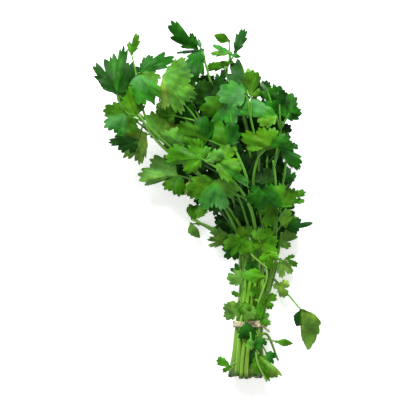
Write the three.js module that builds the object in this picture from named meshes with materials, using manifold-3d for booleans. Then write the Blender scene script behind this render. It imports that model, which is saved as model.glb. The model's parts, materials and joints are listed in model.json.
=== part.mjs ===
// A tied bunch of flat-leaf parsley, lying on a table.
//
// Leafy stems, called sprigs here, pass side by side through a turn of twine, in five rows one above the
// other, and fan out into foliage. +Y runs from the cut ends to the leaves, +X to the right of the
// bunch and +Z up from the table. The origin is on the table, at the middle of the bunch's box.
//
// Every stem carries sprays: a thin stalk that ends in a hub, from which one leaf spreads in lobes.
// Where the sprays lie is given on a plan of the bunch. How high they lie is worked out by a rule:
// the stems come first, and then one spray after another takes the height and the tilt nearest to
// the wanted ones at which it is clear of all that is already there.

import * as THREE from 'three';
import { mergeVertices } from 'three/addons/utils/BufferGeometryUtils.js';
import Module from 'manifold-3d';

const wasm = await Module();
wasm.setup();

// ---------------------------------------------------------------- driving dimensions, millimetres

const BUNCH_LENGTH = 309; // from the lowest hanging leaf to the highest leaf tip
const PLAN_LENGTH = 363; // the same distance in steps of the plan below
const STEP = BUNCH_LENGTH / PLAN_LENGTH; // one step of the plan

const ROWS = [5, 6, 7, 6, 5]; // stems in each row inside the tie, from the table up
const STEM_PITCH = 3.5; // stem to stem in a row, inside the tie
const ROW_PITCH = 3.15; // row to row, inside the tie
const STEM_RADIUS = { foot: 2, tie: 1.5, crown: 1.1 };
const STALK_RADIUS = { root: 0.9, hub: 0.65 };
const HUB_DROP = 0.5; // from the middle of a leaf's blade down to the end of its stalk
const STEM_SEGMENT = 34; // longest straight run of a stem's tube
const STEM_SIDES = 5;
const STALK_SIDES = 3;

const FOOT = { y: -43, spread: 1.32, lean: -2.5, ragged: 3 }; // cut ends, against the tie
const NECK = { y: 55, spread: 1.45, lean: 7.6 }; // where the stems begin to part
const ROW_RISE = [7, 24, 37, 50, 62]; // height of a long stem's end, for each row

const LEAF_THICKNESS = 0.7;
const TWINE_RADIUS = 1.1;
const TWINE_TURNS = [-1.9, 0, 1.9]; // where each turn lies along Y
const TWINE_GAP = 0.55; // between twine and stems
const KNOT = { x: 7, y: 0.4, radius: 2.6, rise: 0.8 };
const TAILS = [[17, -6.5], [15.5, 4.5]]; // where the two cut ends of the twine point to
const TAIL_RADIUS = 0.85;
const TIE_REACH = { x: 14, y: 4 }; // sprays keep out of this much, each way from the tie's middle

const SAMPLE = 0.8; // spacing of the points at which clear space is tested
const LEAF_CLEAR = 1; // clear space kept round a leaf
const EDGE_CLEAR = 0.7; // the same, past a leaf's edge
const TUBE_CLEAR = 1.4; // and round a stem or stalk
const ROOT_REACH = 3; // a stalk isn't tested this close to its root
const HUB_REACH = 5.5; // a leaf may meet its own sprig this close to its hub

// ---------------------------------------------------------------- the plan of the bunch
//
// Plan steps, from the middle of the tie: x to the right, y towards the leaves. A stem has its row
// and its column in the tie, the points its route runs through, the height it rises to, and its
// sprays. A spray is [hub x, hub y, lobes, options], and a lobe is [tip x, tip y, width, bank]:
// width is a share of the common width, and bank is how steeply the lobe rises to its left side.
// Options: z is the wanted height of the hub in millimetres, from the y on the stem where the stalk
// leaves, and via a point that the stalk passes. A sprig with a crown gets its sprays by a rule.

const PLAN = [
  // row 0, on the table
  { name: 'back_left', slot: [0, 0], crown: [-60, 158] },
  { name: 'back_mid_left', slot: [0, 1], crown: [-30, 140] },
  { name: 'back_middle', slot: [0, 2], crown: [-5, 148] },
  { name: 'back_mid_right', slot: [0, 3], crown: [17, 154] },
  { name: 'back_right', slot: [0, 4], crown: [30, 126] },

  // row 1
  {
    name: 'left_small', slot: [1, 0], rise: 6, route: [[-16, 84]],
    sprays: [
      [-58, 106, [[-64, 117, 0.3], [-42, 117, 0.55], [-53, 88, 0.8]], { z: 13, from: 78 }],
      [-20, 84, [[-42, 98, 0.35], [-43, 85, 0.4], [-41, 79, 0.35]], { z: 9, from: 66 }],
      [-23, 98, [[-38, 103, 0.7], [-36, 92, 1], [-25, 86, 0.8]], { z: 8 }],
    ],
  },
  { name: 'inner_left', slot: [1, 1], crown: [-88, 196] },
  { name: 'inner_mid_left', slot: [1, 2], crown: [-40, 222] },
  { name: 'inner_mid_right', slot: [1, 3], crown: [-8, 232] },
  { name: 'inner_right', slot: [1, 4], crown: [18, 196] },
  {
    name: 'right_hanging', slot: [1, 5], rise: 6, route: [[29, 62]],
    sprays: [
      [51, 18, [[58, -23, 0.75], [68, 1, 0.8, 0.5], [46, 1, 0.6, -0.5]], { z: 12, from: 46, via: [33, 38] }],
      [32, 38, [[40, 45, 0.9], [24, 40, 0.9], [36, 27, 0.9]], { z: 14, from: 44 }],
    ],
  },

  // row 2
  {
    name: 'left_low', slot: [2, 0], rise: 24, route: [[-18, 104], [-38, 132], [-60, 149]],
    sprays: [
      [-60, 145, [[-66, 130, 0.35, 1.6], [-57, 131, 0.3, 1.8]], {}],
      [-73, 150, [[-113, 151, 0.9], [-100, 166, 0.7], [-83, 137, 0.9], [-72, 130, 0.6]], {}],
    ],
  },
  { name: 'dark_left', slot: [2, 1], crown: [-58, 224] },
  {
    name: 'top_left', slot: [2, 2], rise: 34, route: [[-6, 127], [-25, 197], [-40, 247], [-47, 272]],
    sprays: [
      [-51, 274, [[-61, 243, 0.7]], {}],
      [-49, 276, [[-52, 287, 0.6], [-75, 273, 0.22, 2.2]], {}],
      [-53, 276, [[-79, 306, 0.95], [-62, 297, 0.8]], {}],
      [-41, 236, [[-58, 222, 0.9], [-50, 212, 0.9]], {}],
    ],
  },
  {
    name: 'top_right', slot: [2, 3], rise: 34, route: [[6, 127], [-4, 197], [-22, 247], [-20, 267]],
    sprays: [
      [-30, 239, [[-25, 257, 0.35, 1.6], [-34, 252, 0.3, -1.6]], {}],
      [-18, 266, [[-44, 266, 0.45]], {}],
      [-19, 272, [[-39, 276, 0.45], [-37, 282, 0.3]], {}],
      [-21, 283, [[-36, 290, 0.7], [-26, 295, 0.6]], {}],
      [-14, 270, [[-8, 298, 0.55], [-15, 286, 0.5]], {}],
    ],
  },
  {
    name: 'right_top', slot: [2, 4], rise: 40, route: [[18, 127], [27, 170], [31, 203]],
    sprays: [
      [36, 207, [[33, 235, 0.8], [43, 232, 0.8], [51, 216, 0.9]], {}],
      [26, 211, [[23, 241, 0.9], [12, 238, 0.9], [12, 222, 0.9]], {}],
      [26, 208, [[-15, 215, 0.7], [7, 203, 0.9]], {}],
    ],
  },
  {
    name: 'right_middle', slot: [2, 5], rise: 34, route: [[27, 112], [35, 150], [37, 172]],
    sprays: [
      [32, 100, [[48, 108, 0.9], [41, 116, 0.8]], {}],
      [39, 142, [[41, 160, 0.8], [49, 156, 0.8]], {}],
      [38, 176, [[47, 184, 0.8], [30, 196, 0.9]], {}],
    ],
  },
  {
    name: 'right_edge', slot: [2, 6], rise: 20, route: [[32, 92]],
    sprays: [
      [31, 65, [[42, 62, 0.9], [41, 48, 0.9], [31, 47, 0.9]], { z: 12, from: 62 }],
      [37, 66, [[47, 69, 0.7], [48, 58, 0.5]], { z: 16, from: 58 }],
      [31, 82, [[44, 91, 0.9], [40, 80, 0.9]], { z: 16 }],
      [38, 96, [[64, 102, 0.6], [52, 106, 0.6], [50, 94, 0.6]], { z: 20 }],
    ],
  },

  // row 3
  {
    name: 'far_left', slot: [3, 0],
    route: [[-22, 112], [-50, 150], [-84, 182], [-104, 205], [-113, 250]],
    sprays: [
      [-116, 215, [[-127, 238, 0.8], [-114, 248, 0.8]], { z: 56 }],
      [-134, 228, [[-153, 263, 0.6], [-143, 269, 0.6], [-128, 280, 0.95]], {}],
      [-117, 273, [[-112, 294, 0.5], [-120, 286, 0.5]], {}],
      [-109, 253, [[-92, 273, 0.9], [-75, 266, 0.9]], {}],
      [-111, 250, [[-107, 226, 0.8], [-92, 220, 0.9], [-88, 237, 0.9]], {}],
    ],
  },
  {
    name: 'left_shelf', slot: [3, 1],
    route: [[-14, 105], [-38, 137], [-70, 169], [-92, 189], [-110, 207]],
    sprays: [
      [-87, 186, [[-98, 214, 0.9], [-82, 212, 0.9]], {}],
      [-104, 191, [[-134, 187, 0.7], [-129, 171, 0.9], [-113, 163, 0.8]], { z: 40 }],
      [-124, 213, [[-115, 195, 0.8], [-132, 191, 1], [-146, 200, 0.9], [-147, 217, 0.9]], {}],
    ],
  },
  {
    name: 'light_left', slot: [3, 2], route: [[-6, 112], [-26, 157], [-52, 203], [-74, 232]],
    sprays: [
      [-67, 180, [[-89, 193, 0.8], [-78, 197, 0.8]], { z: 46 }],
      [
        -86, 248,
        [[-66, 267, 0.8], [-84, 215, 0.8], [-68, 211, 0.9], [-55, 223, 0.9], [-55, 246, 1]],
        { z: 58 },
      ],
    ],
  },
  {
    name: 'dark_middle', slot: [3, 3], route: [[2, 112], [-4, 150], [-17, 180]],
    sprays: [
      [-22, 224, [[-20, 199, 0.9], [-37, 198, 0.9], [-49, 208, 0.9]], {}],
      [-22, 179, [[-18, 203, 0.9], [-36, 204, 0.9]], {}],
      [-43, 185, [[-68, 183, 0.8], [-73, 200, 0.9], [-52, 208, 1]], {}],
    ],
  },
  {
    name: 'upright_middle', slot: [3, 4], route: [[10, 112], [8, 167], [-2, 222]],
    sprays: [
      [1, 229, [[14, 234, 0.9], [8, 256, 0.9]], {}],
      [-3, 231, [[-2, 257, 0.8], [-12, 267, 0.8]], {}],
      [-4, 229, [[-33, 231, 0.95]], {}],
    ],
  },
  {
    name: 'right_front', slot: [3, 5], rise: 56, route: [[26, 102], [26, 137], [22, 164]],
    sprays: [
      [22, 120, [[8, 112, 0.9], [15, 98, 0.9]], { z: 42 }],
      [40, 124, [[55, 124, 0.4]], { z: 44 }],
      [43, 130, [[56, 133, 0.7]], { z: 46 }],
      [33, 119, [[15, 141, 0.8], [29, 142, 0.9], [44, 137, 0.9]], { z: 50 }],
      [29, 176, [[50, 157, 0.55], [47, 184, 0.9], [38, 190, 0.9]], {}],
    ],
  },

  // row 4, on top
  {
    name: 'left_neck', slot: [4, 0], rise: 26, route: [[-4, 82]],
    sprays: [
      [-20, -39, [[-32, -30, 0.6], [-28, -46, 0.7]], { z: 12, from: -33 }],
      [-12, 10, [[-23, 15, 1.1], [-17, 26, 1]], { z: 18, from: 10 }],
      [-10, 28, [[-19, 33, 0.6]], { z: 18, from: 20 }],
      [-9, 42, [[-22, 51, 1], [-14, 58, 0.6]], { z: 22, from: 34 }],
      [-6, 86, [[-26, 76, 1], [-19, 69, 0.9], [-9, 70, 0.8]], { z: 30 }],
      [-4, 88, [[-12, 98, 0.9], [2, 99, 0.9]], { z: 32 }],
    ],
  },
  {
    name: 'left_front', slot: [4, 1], rise: 68,
    route: [[6, 95], [-2, 121], [-14, 140], [-30, 155], [-44, 164]],
    sprays: [
      [-36, 143, [[-12, 129, 0.8], [-25, 115, 0.9], [-47, 115, 0.9], [-63, 129, 0.9]], { z: 60, from: 128 }],
      [-34, 164, [[-3, 141, 1], [-17, 178, 0.9]], { z: 66 }],
      [-44, 164, [[-26, 173, 0.6]], {}],
      [-49, 166, [[-67, 154, 0.8], [-85, 167, 0.9], [-56, 186, 0.9], [-39, 177, 0.8]], {}],
    ],
  },
  {
    name: 'front_short', slot: [4, 2], rise: 34, route: [[11, 84]],
    sprays: [
      [-3, 1, [[-8, -15, 0.9], [6, -21, 0.9]], { z: 26, from: 14 }],
      [4, 6, [[-10, 19, 0.9], [2, 25, 0.9]], { z: 26, from: 14 }],
      [10, 18, [[9, 31, 0.5], [15, 35, 0.5]], { z: 26, from: 12 }],
      [14, 50, [[-12, 54, 0.9]], { z: 32, from: 40 }],
      [12, 84, [[4, 75, 0.9], [26, 69, 0.9], [29, 84, 0.9], [21, 97, 0.9]], {}],
    ],
  },
  {
    name: 'fork_right', slot: [4, 3], rise: 60, route: [[10, 112], [3, 146], [9, 174]],
    sprays: [
      [12, 176, [[-4, 176, 0.35, 1.5], [25, 178, 0.35, 1.5]], {}],
      [18, 179, [[-6, 190, 0.8], [12, 199, 0.9], [36, 191, 0.8]], {}],
    ],
  },
  {
    name: 'right_tie', slot: [4, 4], rise: 22, route: [[14, 48]],
    sprays: [
      [29, -37, [], { z: 6, from: -8, via: [18, -11] }],
      [27, -14, [[44, -16, 0.5]], { z: 12, from: -11 }],
      [9, -31, [[25, -32, 0.8], [35, -50, 0.9], [18, -56, 0.9]], { z: 24, from: -10 }],
      [10, 6, [[21, 0, 0.9], [20, 10, 0.9], [13, 15, 0.8]], { z: 24, from: 12 }],
      [16, 27, [[27, 33, 0.8], [22, 18, 0.8]], { z: 24, from: 20 }],
    ],
  },
];

// The rule for sprigs with a crown: one spray ahead of it and one pair beside the stem.
const RULE = {
  pairAt: 0.78, // share of the stem where the pair leaves
  pairAngle: 52, // degrees away from the stem
  pairReach: 22, // plan steps from stem to hub
  lobeAngle: 60, // degrees from the middle lobe to a side one
  ahead: 27, // plan steps, length of a middle lobe
  beside: 23, // and of a side lobe
  calm: 0.3, // how much these leaves bend, against the drawn ones
};

// One side of a lobe's outline, from its base to near its tip: [degrees off the rib, share of the
// length]. A free side has two teeth. A side that meets a neighbour starts at their notch.
const FREE_SIDE = [[66, 0.1], [44, 0.54], [31, 0.5], [21, 0.84], [10, 0.8]];
const SMALL_FREE_SIDE = [[60, 0.12], [32, 0.66]];
const JOINED_SIDE = [[0.64, 0.86], [0.3, 0.8]]; // angles here are shares of the notch's angle
const JOINED_LIMIT = 56; // degrees from rib to notch, past which neighbours have free sides
const SMALL_LENGTH = 15; // a shorter lobe has the plainer outline, in plan steps
const RIB_SHARE = 0.5; // place of the point on a lobe's rib
const BACK_REACH = 1.2; // millimetres of blade behind the hub

// ---------------------------------------------------------------- small tools

const radians = (degrees) => (degrees * Math.PI) / 180;
const mix = (a, b, t) => a + (b - a) * t;
const smooth = (t) => t * t * (3 - 2 * t);
const along = (a, b, t) => a.map((value, i) => mix(value, b[i], t));
const flat = (a, b) => Math.hypot(b[0] - a[0], b[1] - a[1]);
const apart = (a, b) => Math.hypot(b[0] - a[0], b[1] - a[1], b[2] - a[2]);

// A seeded source of numbers from 0 to 1 (mulberry32).
function dice(seed) {
  let state = seed >>> 0;
  return () => {
    state = (state + 0x6d2b79f5) >>> 0;
    let t = state;
    t = Math.imul(t ^ (t >>> 15), t | 1);
    t ^= t + Math.imul(t ^ (t >>> 7), t | 61);
    return ((t ^ (t >>> 14)) >>> 0) / 4294967296;
  };
}

// ---------------------------------------------------------------- room that is taken
//
// The space of the bunch is a grid of one-millimetre cells. Each holds the number of the sprig that
// has taken it, with the clear space round it, or SHARED where the clear spaces of two meet.

const ROOM = { x: -145, y: -68, columns: 225, rows: 345, layers: 130 };
const room = new Uint8Array(ROOM.columns * ROOM.rows * ROOM.layers);
const SHARED = 255;
const SIX_SIDES = [[1, 0, 0], [-1, 0, 0], [0, 1, 0], [0, -1, 0], [0, 0, 1], [0, 0, -1]];

function cellAt(x, y, z) {
  const column = Math.floor(x - ROOM.x);
  const row = Math.floor(y - ROOM.y);
  return (row * ROOM.columns + column) * ROOM.layers + Math.floor(z);
}

// Takes the cells of one column between two heights.
function take(x, y, low, high, owner) {
  const last = cellAt(x, y, high);
  for (let cell = cellAt(x, y, Math.max(0, low)); cell <= last; cell++) {
    room[cell] = room[cell] === 0 || room[cell] === owner ? owner : SHARED;
  }
}

function takeTube(points, radii, owner) {
  for (let i = 0; i + 1 < points.length; i++) {
    const steps = Math.max(1, Math.ceil(apart(points[i], points[i + 1]) / SAMPLE));
    for (let n = 0; n <= steps; n++) {
      const [x, y, z] = along(points[i], points[i + 1], n / steps);
      const reach = mix(radii[i], radii[i + 1], n / steps) + TUBE_CLEAR;
      for (let dx = -reach; dx <= reach; dx += reach / 3) {
        for (let dy = -reach; dy <= reach; dy += reach / 3) {
          const depth = Math.sqrt(Math.max(0, reach * reach - dx * dx - dy * dy));
          if (depth > 0) take(x + dx, y + dy, z - depth, z + depth, owner);
        }
      }
    }
  }
}

// Whether a stalk's way is free of everything but its own sprig, past its first few millimetres.
function tubeIsFree(points, radius, owner) {
  for (let i = 0; i + 1 < points.length; i++) {
    const steps = Math.ceil(apart(points[i], points[i + 1]));
    for (let n = 0; n <= steps; n++) {
      const at = along(points[i], points[i + 1], n / Math.max(1, steps));
      if (apart(at, points[0]) < ROOT_REACH) continue;
      if (at[2] < radius) return false;
      for (const side of SIX_SIDES) {
        const held = room[cellAt(...at.map((v, k) => v + side[k] * radius))];
        if (held !== 0 && held !== owner) return false;
      }
    }
  }
  return true;
}

// ---------------------------------------------------------------- stems

// A point of the open curve that runs through all the points (uniform Catmull-Rom).
function curvePoint(points, u) {
  const last = points.length - 1;
  const i = Math.min(Math.floor(u), last - 1);
  const t = u - i;
  const p1 = points[i];
  const p2 = points[i + 1];
  const p0 = i > 0 ? points[i - 1] : p1.map((v, k) => 2 * v - p2[k]);
  const p3 = i + 2 <= last ? points[i + 2] : p2.map((v, k) => 2 * v - p1[k]);
  return p1.map((v, k) => {
    const m1 = (p2[k] - p0[k]) / 2;
    const m2 = (p3[k] - v) / 2;
    const a = 2 * v - 2 * p2[k] + m1 + m2;
    const b = -3 * v + 3 * p2[k] - 2 * m1 - m2;
    return ((a * t + b) * t + m1) * t + v;
  });
}

const TIE_Z = 2 * ROW_PITCH + STEM_RADIUS.tie + TWINE_GAP + 2 * TWINE_RADIUS;

// A stem's centre line from cut end to crown, as points of a polyline with their radii.
function stemRoute(sprig, random) {
  const [row, column] = sprig.slot;
  const across = (column - (ROWS[row] - 1) / 2) * STEM_PITCH;
  const up = (row - 2) * ROW_PITCH;
  const route = (sprig.route ?? [sprig.crown]).map(([x, y]) => [x * STEP, y * STEP]);
  const rise = sprig.rise ?? ROW_RISE[row];
  const cut = FOOT.y + (random() - 0.5) * FOOT.ragged;
  const knots = [
    [across * FOOT.spread + FOOT.lean, cut, TIE_Z + up * FOOT.spread],
    [across, 0, TIE_Z + up],
  ];
  const neck = [across * NECK.spread + NECK.lean, NECK.y, TIE_Z + up * NECK.spread];
  if (route.at(-1)[1] > NECK.y + 8) knots.push(neck);
  if (sprig.crown) {
    // A crown alone: the stem leaves the neck upright and swings over to it.
    const swing = along(neck, [...route[0], 0], 0.5);
    route.unshift([mix(neck[0], swing[0], 0.75), swing[1]]);
  }
  const start = knots.at(-1);
  const total = flat(start, route.at(-1));
  for (const [x, y] of route) {
    const share = Math.min(1, flat(start, [x, y]) / total);
    knots.push([x, y, mix(start[2], rise, smooth(share))]);
  }
  const points = [];
  for (let i = 0; i + 1 < knots.length; i++) {
    const steps = Math.max(1, Math.round(flat(knots[i], knots[i + 1]) / STEM_SEGMENT));
    for (let k = 0; k < steps; k++) points.push(curvePoint(knots, i + k / steps));
  }
  points.push(knots.at(-1));
  const radii = points.map(([, y]) => stemRadius(y));
  return { points, radii };
}

// The radius of a stem falls from foot to tie, and on to the crown.
function stemRadius(y) {
  if (y < 0) return mix(STEM_RADIUS.tie, STEM_RADIUS.foot, Math.min(1, y / FOOT.y));
  return mix(STEM_RADIUS.tie, STEM_RADIUS.crown, Math.min(1, y / (200 * STEP)));
}

// Where a spray's stalk leaves the stem: the last place from which the hub lies within 45
// degrees of the stem's own direction, or else the nearest place.
function stalkRoot(points, hub, fromY) {
  let nearest = null;
  let leaning = null;
  for (let i = 0; i + 1 < points.length; i++) {
    const [a, b] = [points[i], points[i + 1]];
    for (let k = 0; k < 4; k++) {
      const p = along(a, b, k / 4);
      const distance = fromY === undefined ? flat(p, hub) : Math.abs(p[1] - fromY);
      if (p[1] < 6 && fromY === undefined) continue;
      if (!nearest || distance < nearest.distance) nearest = { p, distance };
      const dot = (b[0] - a[0]) * (hub[0] - p[0]) + (b[1] - a[1]) * (hub[1] - p[1]);
      if (dot > 0.7 * flat(a, b) * flat(p, hub)) leaning = { p };
    }
  }
  const root = fromY === undefined && leaning ? leaning.p : nearest.p;
  return [...root];
}

// ---------------------------------------------------------------- leaves and sprays

// One three-lobed spray of the rule, with its middle lobe on the given heading.
function ruledSpray([hubX, hubY], aim, random) {
  const lobes = [-1, 1, 0].map((side) => {
    const angle = aim + radians(side * RULE.lobeAngle + (random() - 0.5) * 22);
    const length = (side ? RULE.beside : RULE.ahead) * mix(0.85, 1.15, random());
    return [hubX + Math.cos(angle) * length, hubY + Math.sin(angle) * length, mix(0.8, 1, random())];
  });
  return [hubX, hubY, lobes, { ruled: true, calm: RULE.calm }];
}

// The sprays of a sprig that has a crown: a pair beside its stem, and one at the crown.
function ruledSprays(points, random) {
  const [before, crown] = points.slice(-2);
  const heading = Math.atan2(crown[1] - before[1], crown[0] - before[0]);
  const root = along(points.at(-3), crown, RULE.pairAt);
  const pair = [-1, 1].map((side) => {
    const aim = heading + radians(side * RULE.pairAngle + (random() - 0.5) * 16);
    const reach = RULE.pairReach * mix(0.8, 1.1, random());
    const hub = [root[0] / STEP + Math.cos(aim) * reach, root[1] / STEP + Math.sin(aim) * reach];
    return ruledSpray(hub, aim, random);
  });
  return [...pair, ruledSpray([crown[0] / STEP, crown[1] / STEP], heading, random)];
}

// How far out the notch between two lobes lies, from the angle between notch and rib.
const notchShare = (degrees) => Math.max(0.2, 0.85 - degrees * 0.0125);

// The lobes of a leaf, in order of their heading, with the gap to the next one.
function makeLobes(hub, tips, calm, random) {
  const lobes = tips.map(([tipX, tipY, width = 1, bank = 0]) => {
    const [dx, dy] = [tipX * STEP - hub[0], tipY * STEP - hub[1]];
    return {
      length: Math.hypot(dx, dy),
      heading: (Math.atan2(dy, dx) * 180) / Math.PI,
      width,
      bank: bank + (random() - 0.5) * 0.2 * calm,
      rise: (random() - 0.5) * 0.3 * calm,
      arch: mix(0.1, 0.34, random()) * calm,
      fold: mix(-0.05, 0.25, random()) * calm,
    };
  });
  lobes.sort((a, b) => a.heading - b.heading);
  lobes.forEach((lobe, i) => {
    const next = lobes[(i + 1) % lobes.length].heading;
    lobe.gap = i + 1 < lobes.length ? next - lobe.heading : next + 360 - lobe.heading;
  });
  return lobes;
}

// A place on a leaf, from a lobe's own angle and share: [x, y, own height, dx, dy].
function lobePlace(hub, lobe, degrees, share) {
  const angle = radians(lobe.heading + degrees);
  const reach = share * lobe.length;
  const [dx, dy] = [Math.cos(angle) * reach, Math.sin(angle) * reach];
  const aside = Math.sin(radians(degrees)) * reach;
  const arched = lobe.arch * lobe.length * (0.35 * share - share * share);
  const z = lobe.rise * reach + arched + lobe.fold * Math.abs(aside) + lobe.bank * aside;
  return [hub[0] + dx, hub[1] + dy, z, dx, dy];
}

// The places on one side of a lobe, from base to tip. Sign is 1 on its left, -1 on its right.
function lobeSide(hub, lobe, sign, halfGap) {
  const small = lobe.length < SMALL_LENGTH * STEP;
  if (halfGap < JOINED_LIMIT) {
    const teeth = small ? [] : JOINED_SIDE;
    return teeth.map(([turn, share]) => lobePlace(hub, lobe, sign * turn * halfGap, share));
  }
  const side = small ? SMALL_FREE_SIDE : FREE_SIDE;
  return side.map(([turn, share], i) => {
    const degrees = i ? turn * lobe.width : turn;
    return lobePlace(hub, lobe, sign * degrees, share);
  });
}

// The notch that two neighbours share, at the mean of the heights that each would give it.
function notchPlace(hub, lobe, next) {
  const half = lobe.gap / 2;
  const reach = notchShare(half) * Math.min(lobe.length, next.length);
  const one = lobePlace(hub, lobe, half, reach / lobe.length);
  const other = lobePlace(hub, next, -half, reach / next.length);
  return one.map((v, k) => (k === 2 ? (v + other[2]) / 2 : v));
}

// A lobed leaf round its hub, still level: places, faces of its upper side, rim and samples.
function makeLeaf(hub, tips, calm, random) {
  const lobes = makeLobes(hub, tips, calm, random);
  const places = [[hub[0], hub[1], 0, 0, 0]];
  const rim = [];
  const faces = [];
  const add = (place) => places.push(place) - 1;
  const step = (index) => {
    rim.push(index);
    return index;
  };
  const notches = lobes.map((lobe, i) => {
    const joined = lobe.gap / 2 < JOINED_LIMIT && lobes.length > 1;
    return joined ? add(notchPlace(hub, lobe, lobes[(i + 1) % lobes.length])) : null;
  });
  lobes.forEach((lobe, i) => {
    const before = (i + lobes.length - 1) % lobes.length;
    const right = lobeSide(hub, lobe, -1, notches[before] === null ? 90 : lobes[before].gap / 2);
    const left = lobeSide(hub, lobe, 1, notches[i] === null ? 90 : lobe.gap / 2).reverse();
    const edge = [];
    if (notches[before] !== null) edge.push(notches[before]);
    for (const place of [...right, lobePlace(hub, lobe, 0, 1), ...left]) edge.push(step(add(place)));
    if (notches[i] !== null) edge.push(step(notches[i]));
    const ribPoint = add(lobePlace(hub, lobe, 0, RIB_SHARE));
    for (let k = 0; k + 1 < edge.length; k++) faces.push([ribPoint, edge[k], edge[k + 1]]);
    faces.push([0, edge[0], ribPoint], [0, ribPoint, edge.at(-1)]);
    lobe.ends = [edge[0], edge.at(-1)];
    if (notches[i] === null) lobe.back = closeGap(hub, lobe, add, step);
  });
  lobes.forEach((lobe, i) => {
    if (notches[i] !== null) return;
    const stops = [lobe.ends[1], ...lobe.back, lobes[(i + 1) % lobes.length].ends[0]];
    for (let k = 0; k + 1 < stops.length; k++) faces.push([0, stops[k], stops[k + 1]]);
  });
  const samples = faces.flatMap((face) => faceSamples(face.map((k) => places[k])));
  for (const sample of samples) sample.push(Math.hypot(sample[3], sample[4]) < HUB_REACH ? 1 : 0);
  const tilt = [0, 1].map(() => (random() - 0.5) * 0.4 * calm);
  return { places, rim, faces, samples, tilt };
}

// Where two free sides stand far apart, the blade goes round behind the hub.
function closeGap(hub, lobe, add, step) {
  const open = lobe.gap - 2 * FREE_SIDE[0][0];
  const count = open > 200 ? 2 : open > 130 ? 1 : 0;
  const back = [];
  for (let k = 1; k <= count; k++) {
    const angle = radians(lobe.heading + FREE_SIDE[0][0] + (open * k) / (count + 1));
    const [dx, dy] = [Math.cos(angle) * BACK_REACH, Math.sin(angle) * BACK_REACH];
    back.push(step(add([hub[0] + dx, hub[1] + dy, 0, dx, dy])));
  }
  return back;
}

// Evenly spread points of a triangle, each a blend of its corners' values.
function faceSamples([a, b, c]) {
  const steps = Math.ceil(Math.max(flat(a, b), flat(b, c), flat(c, a)) / SAMPLE);
  const samples = [];
  for (let i = 0; i <= steps; i++) {
    for (let k = 0; k <= steps - i; k++) {
      samples.push(a.map((v, n) => v + ((b[n] - v) * i + (c[n] - v) * k) / Math.max(1, steps)));
    }
  }
  return samples;
}

const halfDepth = ([east, north]) => (LEAF_THICKNESS / 2) * Math.hypot(1.05, east, north);
const leafHeight = ([, , z, dx, dy], height, [east, north]) => height + z + east * dx + north * dy;

// Tries a height and a tilt for a leaf against the room that is taken.
function leafIsFree(leaf, height, tilt, owner) {
  const low = halfDepth(tilt);
  for (const sample of leaf.samples) {
    const z = leafHeight(sample, height, tilt);
    if (z < low || z > ROOM.layers - 4) return false;
    const held = room[cellAt(sample[0], sample[1], z)];
    if (held !== 0 && !(sample[5] && held === owner)) return false;
  }
  return true;
}

function takeLeaf(leaf, height, tilt, owner) {
  const depth = halfDepth(tilt) + LEAF_CLEAR;
  for (const sample of leaf.samples) {
    const z = leafHeight(sample, height, tilt);
    for (const [dx, dy] of [[0, 0], [1, 0], [-1, 0], [0, 1], [0, -1]]) {
      take(sample[0] + dx * EDGE_CLEAR, sample[1] + dy * EDGE_CLEAR, z - depth, z + depth, owner);
    }
  }
}

// Changes of tilt to try, the smallest first, and changes of height in the order of trial.
const TILT_CHANGES = [-5, -4, -3, -2, -1, 0, 1, 2, 3, 4, 5]
  .flatMap((east, _, all) => all.map((north) => [east * 0.12, north * 0.12]))
  .sort((a, b) => Math.hypot(...a) - Math.hypot(...b));
const RISE_CHANGES = [0, 1.5, 3, 4.5, 6, -1.5, 8, -3, 10, 12, -5, 14, 16, -7, 18, 21, 24, -10, 28, 32];
const FILL_CHANGES = [0, -2, 2, -4, 4, -6, 6, 8, -8, 10, -10, 12, 15, 18, -13, 21, 24];
const STALK_LIFTS = [0, 2, -2, 4, -4, 7, -7, 10, 14, 18];

// The first tilt at which a leaf is free, or nothing.
function findTilt(leaf, height, owner) {
  for (const [east, north] of TILT_CHANGES) {
    const tilt = [leaf.tilt[0] + east, leaf.tilt[1] + north];
    if (leafIsFree(leaf, height, tilt, owner)) return tilt;
  }
  return null;
}

// Lays one spray: the first height at which its leaf and its stalk find room.
function laySpray([hubX, hubY, tips, options], stem, owner, random) {
  const hub = [hubX * STEP, hubY * STEP];
  const root = stalkRoot(stem.points, hub, options.from === undefined ? undefined : options.from * STEP);
  const leaf = tips.length ? makeLeaf(hub, tips, options.calm ?? 1, random) : null;
  const wanted = options.z ?? root[2] + mix(0, 4, random());
  for (const change of options.ruled ? FILL_CHANGES : RISE_CHANGES) {
    const height = wanted + change;
    if (height < 1) continue;
    const stalk = stalkRoute(root, hub, height, options.via, !leaf, owner);
    if (!stalk) continue;
    const tilt = leaf ? findTilt(leaf, height, owner) : [0, 0];
    if (!tilt) continue;
    if (leaf) takeLeaf(leaf, height, tilt, owner);
    takeTube(stalk.points, stalk.radii, owner);
    return { stalk, height, leaf, tilt };
  }
  return null;
}

// A stalk runs from stem to hub, past the point given for it, over or under what is in its way.
function stalkRoute(root, hub, height, via, bare, owner) {
  const end = [...hub, height - (bare ? 0 : HUB_DROP)];
  const reach = flat(root, hub);
  const middle = via ? via.map((v) => v * STEP) : [(root[0] + hub[0]) / 2, (root[1] + hub[1]) / 2];
  const steps = via ? 4 : reach > 22 ? 3 : 2;
  const radii = [];
  for (let i = 0; i <= steps; i++) radii.push(mix(STALK_RADIUS.root, STALK_RADIUS.hub, i / steps));
  for (const lift of STALK_LIFTS) {
    const knots = [root, [...middle, (root[2] + height) / 2 + lift], end];
    const points = [];
    for (let i = 0; i <= steps; i++) points.push(curvePoint(knots, (2 * i) / steps));
    if (tubeIsFree(points, STALK_RADIUS.root, owner)) return { points, radii };
  }
  return null;
}

// ---------------------------------------------------------------- solids

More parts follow.
